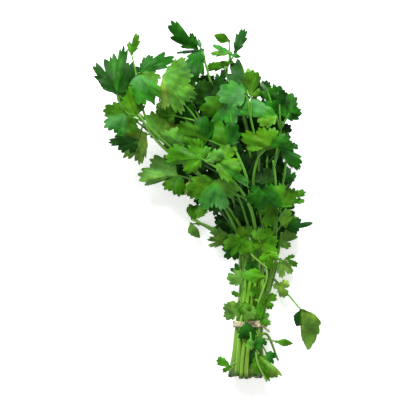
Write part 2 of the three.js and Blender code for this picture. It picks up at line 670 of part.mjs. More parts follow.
// A closed mesh as a solid that can be joined to others.
function solid(positions, triangles) {
  const geometry = new THREE.BufferGeometry();
  geometry.setAttribute('position', new THREE.Float32BufferAttribute(positions.flat(), 3));
  geometry.setIndex(triangles.flat());
  const merged = mergeVertices(geometry, 1e-4);
  return new wasm.Manifold(
    new wasm.Mesh({
      numProp: 3,
      vertProperties: new Float32Array(merged.attributes.position.array),
      triVerts: new Uint32Array(merged.index.array),
    })
  );
}

// A tube with flat ends along a polyline, its section kept from twisting.
function tube(points, radii, sides, turn = 0) {
  const at = points.map((p) => new THREE.Vector3(...p));
  const positions = [];
  const triangles = [];
  let normal = null;
  at.forEach((p, i) => {
    const before = at[Math.max(0, i - 1)];
    const after = at[Math.min(at.length - 1, i + 1)];
    const tangent = after.clone().sub(before).normalize();
    const guide = normal ?? new THREE.Vector3(0, 0, 1);
    normal = guide.clone().addScaledVector(tangent, -guide.dot(tangent)).normalize();
    const side = tangent.clone().cross(normal);
    for (let k = 0; k < sides; k++) {
      const angle = turn + (2 * Math.PI * k) / sides;
      const rim = p.clone().addScaledVector(normal, Math.cos(angle) * radii[i]);
      positions.push(rim.addScaledVector(side, Math.sin(angle) * radii[i]).toArray());
    }
  });
  for (let i = 0; i + 1 < at.length; i++) {
    for (let k = 0; k < sides; k++) {
      const [a, b] = [i * sides + k, i * sides + ((k + 1) % sides)];
      triangles.push([a, a + sides, b], [b, a + sides, b + sides]);
    }
  }
  const last = (at.length - 1) * sides;
  for (let k = 1; k + 1 < sides; k++) triangles.push([0, k, k + 1], [last, last + k + 1, last + k]);
  return solid(positions, triangles.map(([a, b, c]) => [a, c, b]));
}

// A thin blade: the same triangles over and under the leaf's surface, and a rim between.
function blade({ places, faces, rim }, height, tilt) {
  const half = halfDepth(tilt);
  const at = (place, side) => [place[0], place[1], leafHeight(place, height, tilt) + side * half];
  const count = places.length;
  const triangles = [...faces, ...faces.map(([a, b, c]) => [a + count, c + count, b + count])];
  rim.forEach((here, i) => {
    const next = rim[(i + 1) % rim.length];
    triangles.push([here, here + count, next], [next, here + count, next + count]);
  });
  return solid([...places.map((p) => at(p, 1)), ...places.map((p) => at(p, -1))], triangles);
}

// Joins a sprig's pieces, and keeps the one body that they make.
function fuse(pieces) {
  const bodies = wasm.Manifold.union(pieces).decompose();
  return bodies.reduce((a, b) => (b.volume() > a.volume() ? b : a));
}

function meshOf(name, body, material) {
  const { vertProperties, triVerts, numProp } = body.getMesh();
  if (numProp !== 3) throw new Error(name + ' carries more than positions');
  const geometry = new THREE.BufferGeometry();
  geometry.setAttribute('position', new THREE.BufferAttribute(new Float32Array(vertProperties), 3));
  geometry.setIndex(new THREE.BufferAttribute(new Uint32Array(triVerts), 1));
  geometry.computeVertexNormals();
  const mesh = new THREE.Mesh(geometry, material);
  mesh.name = name;
  return mesh;
}

// ---------------------------------------------------------------- the tie

// The twine's turns as one band: its outline is carried round the six-sided bundle of stems.
function twineBand() {
  const wide = ((ROWS[2] - 1) / 2) * STEM_PITCH;
  const narrow = ((ROWS[0] - 1) / 2) * STEM_PITCH;
  const tall = 2 * ROW_PITCH;
  const corners = [[wide, 0], [narrow, tall], [-narrow, tall], [-wide, 0], [-narrow, -tall], [narrow, -tall]];
  const ring = corners.flatMap(([x, z], i) => {
    const [px, pz] = corners[(i + 5) % 6];
    const [nx, nz] = corners[(i + 1) % 6];
    const first = Math.atan2(-(x - px), z - pz);
    const last = Math.atan2(-(nx - x), nz - z);
    const turn = (last - first + 2 * Math.PI) % (2 * Math.PI);
    return [0, 0.5, 1].map((k) => ({ angle: first + turn * k, x, z }));
  });
  const ridge = (y) => [[y - 0.75, TWINE_RADIUS - 0.3], [y - 0.45, TWINE_RADIUS], [y + 0.45, TWINE_RADIUS]];
  const edge = TWINE_TURNS.at(-1) + 0.8;
  const inner = [[edge, TWINE_RADIUS - 0.4], [edge, -TWINE_RADIUS], [-edge, -TWINE_RADIUS]];
  const outline = [...TWINE_TURNS.flatMap(ridge), ...inner];
  const positions = ring.flatMap(({ angle, x, z }) =>
    outline.map(([y, out]) => {
      const reach = STEM_RADIUS.tie + TWINE_GAP + TWINE_RADIUS + out;
      return [x + Math.cos(angle) * reach, y, TIE_Z + z + Math.sin(angle) * reach];
    })
  );
  const sides = outline.length;
  const triangles = ring.flatMap((_, i) =>
    outline.flatMap((__, k) => {
      const [near, far] = [i * sides, ((i + 1) % ring.length) * sides];
      const next = (k + 1) % sides;
      return [[near + k, near + next, far + k], [far + k, near + next, far + next]];
    })
  );
  return solid(positions, triangles);
}

// A three.js geometry that closes on itself, as a solid.
function solidOf(geometry) {
  geometry.deleteAttribute('normal');
  geometry.deleteAttribute('uv');
  const { attributes, index } = mergeVertices(geometry, 1e-4);
  const positions = [];
  for (let i = 0; i < attributes.position.count; i++) {
    positions.push([0, 1, 2].map((k) => attributes.position.getComponent(i, k)));
  }
  const triangles = [];
  for (let i = 0; i < index.count; i += 3) triangles.push([0, 1, 2].map((k) => index.getX(i + k)));
  return solid(positions, triangles);
}

// The twine: its band, the knot on top and the two cut ends. Sprays keep clear of it.
function makeTie(material) {
  const top = TIE_Z + 2 * ROW_PITCH + STEM_RADIUS.tie + TWINE_GAP + TWINE_RADIUS;
  const knotTop = [KNOT.x, KNOT.y, top + KNOT.rise];
  const knot = new THREE.SphereGeometry(KNOT.radius, 7, 5).translate(...knotTop);
  const pieces = [solidOf(knot), twineBand()];
  for (const [x, y] of TAILS) {
    const bend = [mix(KNOT.x, x, 0.5), mix(KNOT.y, y, 0.4), top + 2 * KNOT.rise];
    const route = [knotTop, bend, [x, y, top + KNOT.rise]];
    pieces.push(tube(route, route.map(() => TAIL_RADIUS), STALK_SIDES));
    takeTube(route, route.map(() => TAIL_RADIUS), SHARED);
  }
  for (let x = -TIE_REACH.x; x <= TIE_REACH.x; x += SAMPLE) {
    for (let y = -TIE_REACH.y; y <= TIE_REACH.y; y += SAMPLE) {
      take(x, y, 0, top + TWINE_RADIUS + LEAF_CLEAR, SHARED);
    }
  }
  takeTube([[KNOT.x, KNOT.y, top], knotTop], [KNOT.radius, KNOT.radius], SHARED);
  return meshOf('tie', fuse(pieces), material);
}

// ---------------------------------------------------------------- the whole bunch

// Sprays in the order in which they find their places: drawn ones from the table up, then ruled.
function laySprays(stems) {
  const laid = stems.map(() => []);
  for (const ruled of [false, true]) {
    stems.forEach((stem, index) => {
      if (Boolean(stem.sprig.crown) !== ruled) return;
      const random = dice(5000 + 37 * index);
      const sprays = ruled ? ruledSprays(stem.points, random) : stem.sprig.sprays;
      for (const spray of sprays) {
        const place = laySpray(spray, stem, index + 1, random);
        if (place) laid[index].push(place);
      }
    });
  }
  return laid;
}

function makeSprig(stem, sprays, material) {
  const pieces = [tube(stem.points, stem.radii, STEM_SIDES)];
  for (const { stalk, leaf, height, tilt } of sprays) {
    pieces.push(tube(stalk.points, stalk.radii, STALK_SIDES));
    if (leaf) pieces.push(blade(leaf, height, tilt));
  }
  return meshOf('sprig_' + stem.sprig.name, fuse(pieces), material);
}

const bunch = new THREE.Group();
const twine = new THREE.MeshStandardMaterial({ name: 'twine', color: 0xc9b98a, roughness: 0.9, metalness: 0 });
bunch.add(makeTie(twine));
const stems = PLAN.map((sprig, index) => ({ sprig, ...stemRoute(sprig, dice(1000 + 37 * index)) }));
stems.forEach(({ points, radii }, index) => takeTube(points, radii, index + 1));
const laid = laySprays(stems);
stems.forEach((stem, index) => {
  const shift = [dice(index)() - 0.5, dice(index + 99)() - 0.5];
  const tint = new THREE.Color(0x3f8a28).offsetHSL(shift[0] * 0.04, 0, shift[1] * 0.08);
  const green = new THREE.MeshStandardMaterial({ name: 'parsley', color: tint, roughness: 0.5, metalness: 0 });
  bunch.add(makeSprig(stem, laid[index], green));
});

// The origin goes to the table, under the middle of the bunch.
const box = new THREE.Box3().setFromObject(bunch, true);
const middle = box.getCenter(new THREE.Vector3());
bunch.position.set(-middle.x, -middle.y, -box.min.z);
const part = new THREE.Group();
part.add(bunch);

export default part;
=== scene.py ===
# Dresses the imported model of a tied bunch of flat-leaf parsley, lying on a table.
#
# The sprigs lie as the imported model's do: their plan is given here in the same steps, and the height
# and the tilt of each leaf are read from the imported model. Each sprig becomes one fine piece, with
# ribbed stems, toothed and veined leaves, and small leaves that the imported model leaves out.

import json

import bpy
import numpy as np
from bpy.props import FloatProperty, FloatVectorProperty, PointerProperty
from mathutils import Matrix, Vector


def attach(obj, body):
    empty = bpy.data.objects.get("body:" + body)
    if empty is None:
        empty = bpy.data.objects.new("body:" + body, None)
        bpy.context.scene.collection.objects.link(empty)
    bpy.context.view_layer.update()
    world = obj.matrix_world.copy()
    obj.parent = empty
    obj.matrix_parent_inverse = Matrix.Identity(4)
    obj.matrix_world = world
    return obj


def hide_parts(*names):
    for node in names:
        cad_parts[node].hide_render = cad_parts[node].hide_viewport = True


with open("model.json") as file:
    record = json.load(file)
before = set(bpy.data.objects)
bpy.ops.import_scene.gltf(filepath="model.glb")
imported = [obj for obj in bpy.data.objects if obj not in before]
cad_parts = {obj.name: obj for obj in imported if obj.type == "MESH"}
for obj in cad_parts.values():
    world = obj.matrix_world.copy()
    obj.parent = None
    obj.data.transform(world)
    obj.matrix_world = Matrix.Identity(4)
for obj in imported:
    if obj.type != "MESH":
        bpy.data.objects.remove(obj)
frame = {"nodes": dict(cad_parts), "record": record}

bl_info = {
    "name": "Parsley bunch",
    "version": (1, 0, 0),
    "blender": (4, 5, 0),
    "location": "View3D > Sidebar > Parsley",
    "description": "Makes the leaves, stems and twine of a bunch of parsley",
    "category": "Add Mesh",
}

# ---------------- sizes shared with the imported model
# Millimetres, and steps of the plan. The plan's origin is the middle of the tie, on the table.

STEP = 309 / 363  # one step: the bunch's length, over the same length in steps
ROWS = [5, 6, 7, 6, 5]  # stems in each row inside the tie, from the table up
STEM_PITCH = 3.5  # stem to stem in a row, inside the tie
ROW_PITCH = 3.15  # row to row, inside the tie
STEM_RADIUS = {"foot": 2.0, "tie": 1.5, "crown": 1.1}
STALK_RADIUS = {"root": 0.9, "hub": 0.65}
HUB_DROP = 0.5  # from the middle of a leaf's blade down to the end of its stalk
STEM_SEGMENT = 34  # longest straight run of a packed stem
FOOT = {"y": -43, "spread": 1.32, "lean": -2.5, "ragged": 3}  # cut ends, against the tie
NECK = {"y": 55, "spread": 1.45, "lean": 7.6, "clear": 8}  # where the stems begin to part
CROWN_Y = 200 * STEP  # where stems are at their thinnest
ROW_RISE = [7, 24, 37, 50, 62]  # height of a long stem's end, for each row
TWINE_RADIUS = 1.1
TWINE_TURNS = [-1.9, 0, 1.9]  # where each turn lies along Y
TWINE_GAP = 0.55  # between twine and stems
TIE_Z = 2 * ROW_PITCH + STEM_RADIUS["tie"] + TWINE_GAP + 2 * TWINE_RADIUS  # the height of its middle
KNOT = {"x": 7, "y": 0.4, "rise": 0.8}
TAILS = [[17, -6.5], [15.5, 4.5]]  # where the two cut ends of the twine point to
STALK_LIFTS = [0, 2, -2, 4, -4, 7, -7, 10, 14, 18]  # by which a stalk's middle may be lifted
LONG_STALK = 22  # from this reach on, a stalk has one more ring of corners
CORNER_MISS = 0.12  # how far a corner may be from its reckoned place on the plan
TIE_REACH = 6  # up to here above the tie, no stalk leaves its stem unless it is told to
LEANING = 0.7  # about the cosine of 45 degrees
LOBE_WIDTH = 0.9  # of a lobe that is given no width
TABLE_GAP = 0.05  # the least height of a stem's underside above the table
SEED_STEP = 37
SEEDS = {"stem": 1000, "leaves": 5000, "more": 6000, "filler": 7000, "full": 8000, "surface": 9000}

PLAN_ORIGIN = 1000 * np.array([frame["record"]["mounts"][0]["pos_m"]], float)  # where it is in the frame


# ---------------- the plan of the bunch


def spray(x, y, lobes, tone="mid", **options):
    """A stalk and the leaf it carries: hub, lobes as (tip x, tip y, width, bank), tone of green.

    Options for its place are z, the wanted height; start, the y on the stem; via, a point on the way;
    tilt, two slopes; shift and lift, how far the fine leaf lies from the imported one; and thick, for
    the stalk. Options for its shape are full, the fine leaf's lobes where they differ; cut, how much
    deeper its notches are, or that by lobe; plain, for a leaf with small teeth alone; and calm and
    calm_full, how much its lobes vary. Tones names a green for each lobe."""
    return {"hub": (x, y), "lobes": lobes, "tone": tone, **options}


def sprig(name, row, column, route=None, sprays=(), **options):
    """A leafy stem: its place in the tie, the points of its route, and its sprays. Options are
    crown, for a stem whose sprays follow the rule; rise, the height of its end; and more, the
    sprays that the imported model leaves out."""
    return {"name": name, "slot": (row, column), "route": route, "sprays": sprays, **options}


PLAN = [
    # row 0, on the table
    sprig("back_left", 0, 0, crown=(-60, 158)),
    sprig("back_mid_left", 0, 1, crown=(-30, 140)),
    sprig("back_middle", 0, 2, crown=(-5, 148)),
    sprig("back_mid_right", 0, 3, crown=(17, 154)),
    sprig("back_right", 0, 4, crown=(30, 126)),
    # row 1
    sprig("left_small", 1, 0, [(-16, 84)], [
        spray(-58, 106, [(-64, 117, 0.3), (-42, 117, 0.55), (-53, 88, 0.8)], z=13, start=78,
            full=[(-64, 116, 0.2), (-42, 115, 0.35)], cut=0.5, tones="dark light"),
        spray(-20, 84, [(-42, 98, 0.35), (-43, 85, 0.4), (-41, 79, 0.35)], "olive", z=9, start=66, cut=0.25,
            full=[(-41, 96, 0.5), (-43, 85, 0.4), (-42, 79, 0.3)]),
        spray(-23, 98, [(-38, 103, 0.7), (-36, 92, 1), (-25, 86, 0.8)], "dark", z=8, shift=(4, 0)),
    ], rise=6, more=[
        spray(-58, 105, [], "pale", z=19, start=80, via=(-40, 98), thick=1.1),
        spray(-59, 101, [(-50, 87, (1.05, 0.4))], "olive", z=12, start=78, via=(-46, 99), plain=True,
            tilt=(0, 0)),
        spray(-53, 104, [(-51, 99, 0.8)], "dark", z=12, start=78, plain=True),
        spray(-57, 107, [(-61, 121, 0.6), (-52, 120, 0.5)], z=15, start=78),
    ]),
    sprig("inner_left", 1, 1, crown=(-88, 196)),
    sprig("inner_mid_left", 1, 2, crown=(-40, 222)),
    sprig("inner_mid_right", 1, 3, crown=(-8, 232)),
    sprig("inner_right", 1, 4, crown=(18, 196)),
    sprig("right_hanging", 1, 5, [(29, 62)], [
        spray(51, 18, [(58, -23, 0.75), (68, 1, 0.8, 0.5), (46, 1, 0.6, -0.5)], "olive", thick=1.2, z=12,
            start=46, via=(33, 38), full=[(58, -23, (0.2, 1.0)), (47, 1, 0.75, -0.5)], shift=(1, -4),
            tones="olive dark", plain=True),
        spray(32, 38, [(40, 45), (24, 40), (36, 27)], "pale", z=14, start=44, cut=0.1, shift=(-1, -1)),
    ], rise=6),
    # row 2
    sprig("left_low", 2, 0, [(-18, 104), (-38, 132), (-60, 149)], [
        spray(-60, 145, [(-66, 130, 0.35, 1.6), (-57, 131, 0.3, 1.8)], "pale"),
        spray(-73, 150, [(-113, 151), (-100, 166, 0.7), (-83, 137), (-72, 130, 0.6)], "olive",
            full=[(-113, 151, 0.8), (-101, 166, 0.7), (-86, 135, 0.8), (-71, 128, 0.7)],
            tones="olive olive mid mid"),
    ], rise=24),
    sprig("dark_left", 2, 1, crown=(-58, 224)),
    sprig("top_left", 2, 2, [(-6, 127), (-25, 197), (-40, 247), (-47, 272)], [
        spray(-51, 274, [(-61, 243, 0.7)], "blue"),
        spray(-49, 276, [(-52, 287, 0.6), (-75, 273, 0.22, 2.2)], "grey", full=[(-52, 287, 0.4)]),
        spray(-53, 276, [(-79, 306, 0.95), (-62, 297, 0.8)], "dark", full=[(-79, 304, (0.5, 0.62)),
            (-60, 292, 0.45)], tones="dark dark"),
        spray(-41, 236, [(-58, 222), (-50, 212)], "dark"),
    ], rise=34, more=[
        spray(-47, 275, [(-75, 272, 0.12)], "grey", z=33, tilt=(0, 0)),
    ]),
    sprig("top_right", 2, 3, [(6, 127), (-4, 197), (-22, 247), (-20, 267)], [
        spray(-30, 239, [(-25, 257, 0.35, 1.6), (-34, 252, 0.3, -1.6)], "dark"),
        spray(-18, 266, [(-44, 266, 0.45)], full=[(-44, 259, 0.32)], shift=(0, -3)),
        spray(-19, 272, [(-39, 276, 0.45), (-37, 282, 0.3)], full=[(-40, 271, 0.3), (-38, 280, 0.25)],
            cut=0.35, tones="light blue"),
        spray(-21, 283, [(-36, 290, 0.7), (-26, 295, 0.6)], full=[(-36, 289, 0.7)], plain=True,
            shift=(0, 1)),
        spray(-14, 270, [(-8, 298, 0.55), (-15, 286, 0.5)], "dim", shift=(-1, 2), full=[(-4, 295, 0.42)]),
    ], rise=34, more=[
        spray(-25, 259, [(-43, 260, 0.35)], z=38),
        spray(-19, 270, [(-9, 268, 0.5)], "blue", z=40, plain=True),
        spray(-37, 249, [(-54, 244, 0.5), (-38, 240, 0.5)], "deep", z=24),
    ]),
    sprig("right_top", 2, 4, [(18, 127), (27, 170), (31, 203)], [
        spray(36, 207, [(33, 235, 0.8), (43, 232, 0.8), (51, 216)], "dark"),
        spray(26, 211, [(23, 241), (12, 238), (12, 222)], "dark"),
        spray(26, 208, [(-15, 215, 0.7), (7, 203)], "light", lift=9, tones="blue light"),
    ], rise=40, more=[
        spray(17, 234, [(10, 242, 0.4)], "grey", z=44),
        spray(29, 222, [(22, 232, 0.8), (34, 235, 0.8)], "dim", z=46),
        spray(40, 213, [(45, 225, 0.7), (50, 214, 0.6)], "dark", z=47),
        spray(23, 214, [(15, 223, 0.8), (27, 225, 0.8), (33, 214, 0.7)], "dark", z=46),
    ]),
    sprig("right_middle", 2, 5, [(27, 112), (35, 150), (37, 172)], [
        spray(32, 100, [(48, 108), (41, 116, 0.8)], "light"),
        spray(39, 142, [(41, 160, 0.8), (49, 156, 0.8)], "dark", full=[(38, 159, 0.7), (46, 153, 0.6)]),
        spray(38, 176, [(47, 184, 0.8), (30, 196)], "dark", full=[(44, 181, 0.6), (29, 194, 0.8)]),
    ], rise=34, more=[
        spray(34, 172, [(50, 155, 0.4)], z=50, start=160, tilt=(-0.2, 0)),
        spray(40, 181, [(29, 174, 0.8), (40, 170, 0.8), (48, 176, 0.8)], "dark", z=46, start=165),
    ]),
    sprig("right_edge", 2, 6, [(32, 92)], [
        spray(31, 65, [(42, 62), (41, 48), (31, 47)], "olive", z=12, start=62, cut=0.15,
            full=[(43, 50, 0.55), (33, 46, 0.5)]),
        spray(37, 66, [(47, 69, 0.7), (48, 58, 0.5)], z=16, start=58, cut=0.4, full=[(46, 69, 0.6),
            (48, 57, 0.3)]),
        spray(31, 82, [(44, 91), (40, 80)], "olive", z=16, full=[(48, 93, 0.8), (42, 78)]),
        spray(38, 96, [(64, 102, 0.6), (52, 106, 0.6), (50, 94, 0.6)], "dark", z=20),
    ], rise=20),
    # row 3
    sprig("far_left", 3, 0, [(-22, 112), (-50, 150), (-84, 182), (-104, 205), (-113, 250)], [
        spray(-116, 215, [(-127, 238, 0.8), (-114, 248, 0.8)], z=56, shift=(1, -6), full=[(-129, 242, 0.8),
            (-119, 248, 0.8)], lift=-8),
        spray(-134, 228, [(-153, 263, 0.6), (-143, 269, 0.6), (-128, 280, 0.95)], "dark",
            full=[(-155, 259, 0.45), (-147, 263, 0.8), (-138, 269, 0.7), (-127, 277, 0.6),
            (-118, 261, 0.85)], tones="dim dim dark dark dim", shift=(1, 3), cut={1: 0.28}),
        spray(-117, 273, [(-112, 294, 0.5), (-120, 286, 0.5)], shift=(-1, -3)),
        spray(-109, 253, [(-92, 273), (-75, 266)], full=[(-97, 269, 0.6), (-85, 273, 0.6),
            (-75, 268, 0.38)], tones="dark dark dark"),
        spray(-111, 250, [(-107, 226, 0.8), (-92, 220), (-88, 237)], "blue", full=[(-104, 219, 0.8),
            (-89, 226, 0.8), (-88, 246, 0.4)], tones="blue blue mid", cut=-0.3),
    ], more=[
        spray(-133, 231, [(-152, 246, 0.45)], "olive", z=54, start=178, via=(-122, 211), tilt=(0, 0),
            tones="dim", plain=True),
        spray(-111, 210, [], "pale", z=53, start=148, via=(-89, 180), thick=1.9),
    ]),
    sprig("left_shelf", 3, 1, [(-14, 105), (-38, 137), (-70, 169), (-92, 189), (-110, 207)], [
        spray(-87, 186, [(-98, 214), (-82, 212)], "olive", tones="light olive", lift=-9),
        spray(-104, 191, [(-134, 187, 0.7), (-129, 171), (-113, 163, 0.8)], "olive", z=40,
            full=[(-136, 182, 0.7), (-127, 167, 0.8), (-111, 160, (0.8, 0.3))]),
        spray(-124, 213, [(-115, 195, 0.8), (-132, 191, 1), (-146, 200), (-147, 217)], "blue",
            shift=(0, -3), tones="mid blue blue mid"),
    ], more=[
        spray(-112, 184, [(-142, 182, 0.4), (-132, 175, 0.6), (-119, 171, 0.5)], "deep", z=46,
            tilt=(0, 0.2), start=203),
        spray(-122, 221, [(-132, 230), (-121, 236)], "deep", z=44),
    ]),
    sprig("light_left", 3, 2, [(-6, 112), (-26, 157), (-52, 203), (-74, 232)], [
        spray(-67, 180, [(-89, 193, 0.8), (-78, 197, 0.8)], "light", z=46, lift=-6),
        spray(-86, 248, [(-66, 267, 0.8), (-84, 215, 0.8), (-68, 211), (-55, 223), (-55, 246, 1)], "light",
            z=58, calm_full=0.4, full=[(-64, 266, 0.35), (-85, 214, 0.3), (-68, 210), (-54, 225),
            (-56, 248, 1)], tones="light pale light light light"),
    ], more=[
        spray(-75, 209, [(-94, 221, 0.8), (-96, 210, 0.8), (-84, 203, 0.7)], z=43, tilt=(0.1, -0.1)),
        spray(-60, 206, [(-72, 219, 0.8), (-60, 221, 0.8)], "dark", z=40),
        spray(-46, 160, [(-57, 151), (-58, 166), (-44, 172), (-36, 158)], "deep", z=24, tilt=(0, 0)),
        spray(-41, 181, [(-50, 171), (-50, 188), (-36, 191), (-31, 176)], "deep", z=22, tilt=(0, 0)),
        spray(-63, 151, [(-74, 147), (-68, 161), (-56, 158)], "deep", z=18, tilt=(0, 0)),
    ]),
    sprig("dark_middle", 3, 3, [(2, 112), (-4, 150), (-17, 180)], [
        spray(-22, 224, [(-20, 199), (-37, 198), (-49, 208)], "blue", tones="blue blue mid"),
        spray(-22, 179, [(-18, 203), (-36, 204)], "dark", tones="dark mid"),
        spray(-43, 185, [(-68, 183, 0.8), (-73, 200), (-52, 208, 1)], "dark", tones="mid mid dark"),
    ]),
    sprig("upright_middle", 3, 4, [(10, 112), (8, 167), (-2, 222)], [
        spray(1, 229, [(14, 234), (8, 256)], full=[(12, 233, 0.8), (2, 254, 0.8)]),
        spray(-3, 231, [(-2, 257, 0.8), (-12, 267, 0.8)], tones="olive dim"),
        spray(-4, 229, [(-33, 231, 0.95)], "blue"),
    ]),
    sprig("right_front", 3, 5, [(26, 102), (26, 137), (22, 164)], [
        spray(22, 120, [(8, 112), (15, 98)], z=42),
        spray(40, 124, [(55, 124, 0.4)], z=44),
        spray(43, 130, [(56, 133, 0.7)], z=46),
        spray(33, 119, [(15, 141, 0.8), (29, 142), (44, 137)], z=50, tones="dark mid mid"),
        spray(29, 176, [(50, 157, 0.55), (47, 184), (38, 190)], "dark", full=[(49, 157, 0.4),
            (44, 181, 0.7), (35, 188, 0.7)]),
    ], rise=56),
    # row 4, on top
    sprig("left_neck", 4, 0, [(-4, 82)], [
        spray(-20, -39, [(-32, -30, 0.6), (-28, -46, 0.7)], z=12, start=-33, shift=(0, -4), cut=0.3,
            full=[(-32, -29, 0.45), (-27, -45, 0.5)]),
        spray(-12, 10, [(-23, 15, 1.1), (-17, 26, 1)], "olive", z=18, start=10, shift=(-2, 0), cut=-0.3,
            full=[(-25, 8, 1), (-24, 21), (-14, 24, 0.8)]),
        spray(-10, 28, [(-19, 33, 0.6)], z=18, start=20),
        spray(-9, 42, [(-22, 51, 1), (-14, 58, 0.6)], "olive", z=22, start=34),
        spray(-6, 86, [(-26, 76, 1), (-19, 69), (-9, 70, 0.8)], "dark", z=30, tones="mid mid fresh"),
        spray(-4, 88, [(-12, 98), (2, 99)], z=32),
    ], rise=26, more=[
        spray(-13, 75, [(-28, 76, 0.8), (-26, 67, 0.8), (-15, 64, 0.8)], "dark", z=24),
        spray(-32, 118, [(-43, 116, 0.8), (-36, 109, 0.8)], "deep", z=26),
        spray(-12, 52, [(-14, 62, 0.6), (-20, 56, 0.5)], "dark", z=20, start=40),
        spray(17, 57, [], "pale", z=40, start=78, via=(3, 69)),
    ]),
    sprig("left_front", 4, 1, [(6, 95), (-2, 121), (-14, 140), (-30, 155), (-44, 164)], [
        spray(-36, 143, [(-12, 129, 0.8), (-25, 115), (-47, 115), (-63, 129)], "blue", z=60, start=128,
            tones="light blue blue mid"),
        spray(-34, 164, [(-3, 141, 1), (-17, 178)], z=66, full=[(-3, 138, 0.45), (-9, 156, 0.7),
            (-17, 177, 0.8), (-18, 143, 0.5)], tones="dark mid mid mid"),
        spray(-44, 164, [(-26, 173, 0.6)], "light"),
        spray(-49, 166, [(-67, 154, 0.8), (-85, 167), (-56, 186), (-39, 177, 0.8)]),
    ], rise=68),
    sprig("front_short", 4, 2, [(11, 84)], [
        spray(-3, 1, [(-8, -15), (6, -21)], "dark", z=26, start=14, full=[(-9, -16, 0.6), (3, -19, 0.6)]),
        spray(4, 6, [(-10, 19), (2, 25)], "olive", z=26, start=14, full=[(-8, 17, 0.7), (0, 20, 0.7)]),
        spray(10, 18, [(9, 31, 0.5), (15, 35, 0.5)], z=26, start=12),
        spray(14, 50, [(-12, 54)], "fresh", z=32, start=40, full=[(-10, 53, 0.8)], plain=True),
        spray(12, 84, [(4, 75), (26, 69), (29, 84), (21, 97)], "fresh"),
    ], rise=34, more=[
        spray(14, 48, [(-8, 51, 0.75)], "fresh", z=36, start=40, tilt=(0, -0.15), plain=True),
        spray(0, 79, [(-9, 86), (-7, 70, 0.8), (5, 69, 0.8), (7, 84, 0.7)], "fresh", z=34),
        spray(18, 72, [(10, 62, 0.8), (20, 56), (29, 66, 0.8)], "fresh", z=36),
        spray(8, 86, [(2, 95, 0.7), (12, 98, 0.7), (17, 90, 0.6)], "fresh", z=38),
        spray(3, 62, [(-4, 53, 0.8), (7, 51, 0.8)], "dark", z=25, start=50),
        spray(3, 38, [(10, 30, 0.7), (1, 27, 0.6)], "fresh", z=26, start=30),
        spray(9, 24, [(11, 6, 0.45)], "fresh", z=30, start=22, plain=True),
        spray(-5, 22, [(-10, 9, 0.8), (0, 10, 0.7)], z=26, start=20),
        spray(8, 22, [], "pale", z=35, start=70, via=(17, 50), thick=1.1),
        spray(1, -14, [(2, -26, 0.6), (-3, -24, 0.6)], "light", z=27, start=-4),
    ]),
    sprig("fork_right", 4, 3, [(10, 112), (3, 146), (9, 174)], [
        spray(12, 176, [(-4, 176, 0.35, 1.5), (25, 178, 0.35, 1.5)]),
        spray(18, 179, [(-6, 190, 0.8), (12, 199), (36, 191, 0.8)], "light", full=[(-9, 191, 0.7),
            (8, 197, 0.5), (24, 197, 0.5), (38, 187, 0.6)], tones="mid mid mid dark"),
    ], rise=60, more=[
        spray(10, 134, [(0, 138, 0.8), (-4, 122), (8, 114)], "dark", z=62),
        spray(16, 142, [(4, 152, 0.8), (18, 158, 0.8), (26, 146, 0.8)], "deep", z=52),
    ]),
    sprig("right_tie", 4, 4, [(14, 48)], [
        spray(29, -37, [], z=6, start=-8, via=(18, -11), thick=1.5),
        spray(27, -14, [(44, -16, 0.5)], z=12, start=-11, shift=(0, -4), plain=True),
        spray(9, -31, [(25, -32, 0.8), (35, -50), (18, -56)], "olive", z=24, start=-10,
            full=[(21, -36, 0.4), (33, -52, 0.5), (20, -58, 0.25)], tones="mid olive mid"),
        spray(10, 6, [(21, 0), (20, 10), (13, 15, 0.8)], z=24, start=12),
        spray(16, 27, [(27, 33, 0.8), (22, 18, 0.8)], z=24, start=20, shift=(0, -3)),
    ], rise=22, more=[
        spray(17, -57, [], z=30, start=-14, via=(7, -36), thick=1.2),
        spray(4, -20, [(3, -47, 0.3)], "deep", z=23, start=-10),
        spray(8, -30, [(8, -51, 0.6), (15, -47, 0.6)], z=23, start=-10),
        spray(11, -14, [(17, -21, 0.7), (8, -26, 0.7)], "dark", z=23, start=-6),
        spray(17, -29, [(27, -33, 0.8), (24, -40, 0.7)], "dark", z=22, start=-10),
    ]),
]

# The rule for sprigs with a crown: one spray ahead of it and one pair beside the stem. Angles are in
# degrees and reaches in steps. A jitter is the whole range of a random turn, a vary the least and
# the greatest factor to a reach, and lobe_width a lobe's least and greatest width.
RULE = {"pair_at": 0.78, "pair_angle": 52, "pair_jitter": 16, "pair_reach": 22, "pair_vary": (0.8, 1.1),
        "lobe_angle": 60, "lobe_jitter": 22, "lobe_vary": (0.85, 1.15), "lobe_width": (0.8, 1),
        "ahead": 27, "beside": 23, "calm": 0.3}

# Leaves that fill the inside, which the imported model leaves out: how many to a stem, between which
# shares of its length above the neck, plan steps from stem to hub, millimetres above the stem,
# degrees off the stem's heading, the whole range of their slopes, and their least height.
FILLER = {"count": 4, "first": 0.1, "last": 0.95, "reach": (6, 15), "rise": (-4, 5), "turn": (25, 70),
          "slope": 0.7, "lowest": 2.5}
MORE_SLOPE = 0.8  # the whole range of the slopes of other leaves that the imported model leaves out

# The room for the leaves of the rule and the filling ones: the plan's y, its least and greatest x.
ROOM = [(69, -20, 29), (77, -25, 32), (85, -36, 40), (93, -37, 42), (101, -28, 42), (109, -27, 45),
        (117, -45, 40), (133, -56, 37), (141, -61, 37), (149, -76, 38), (157, -80, 38), (173, -80, 37),
        (181, -82, 42), (189, -90, 37), (213, -98, 37), (229, -90, 35), (245, -80, 13), (262, -30, -10)]
ROOM_EDGE = 6  # mm, the least from a hub to the room's edge
SHORTER = {"times": 5, "by": 0.88}  # how a lobe is made to fit

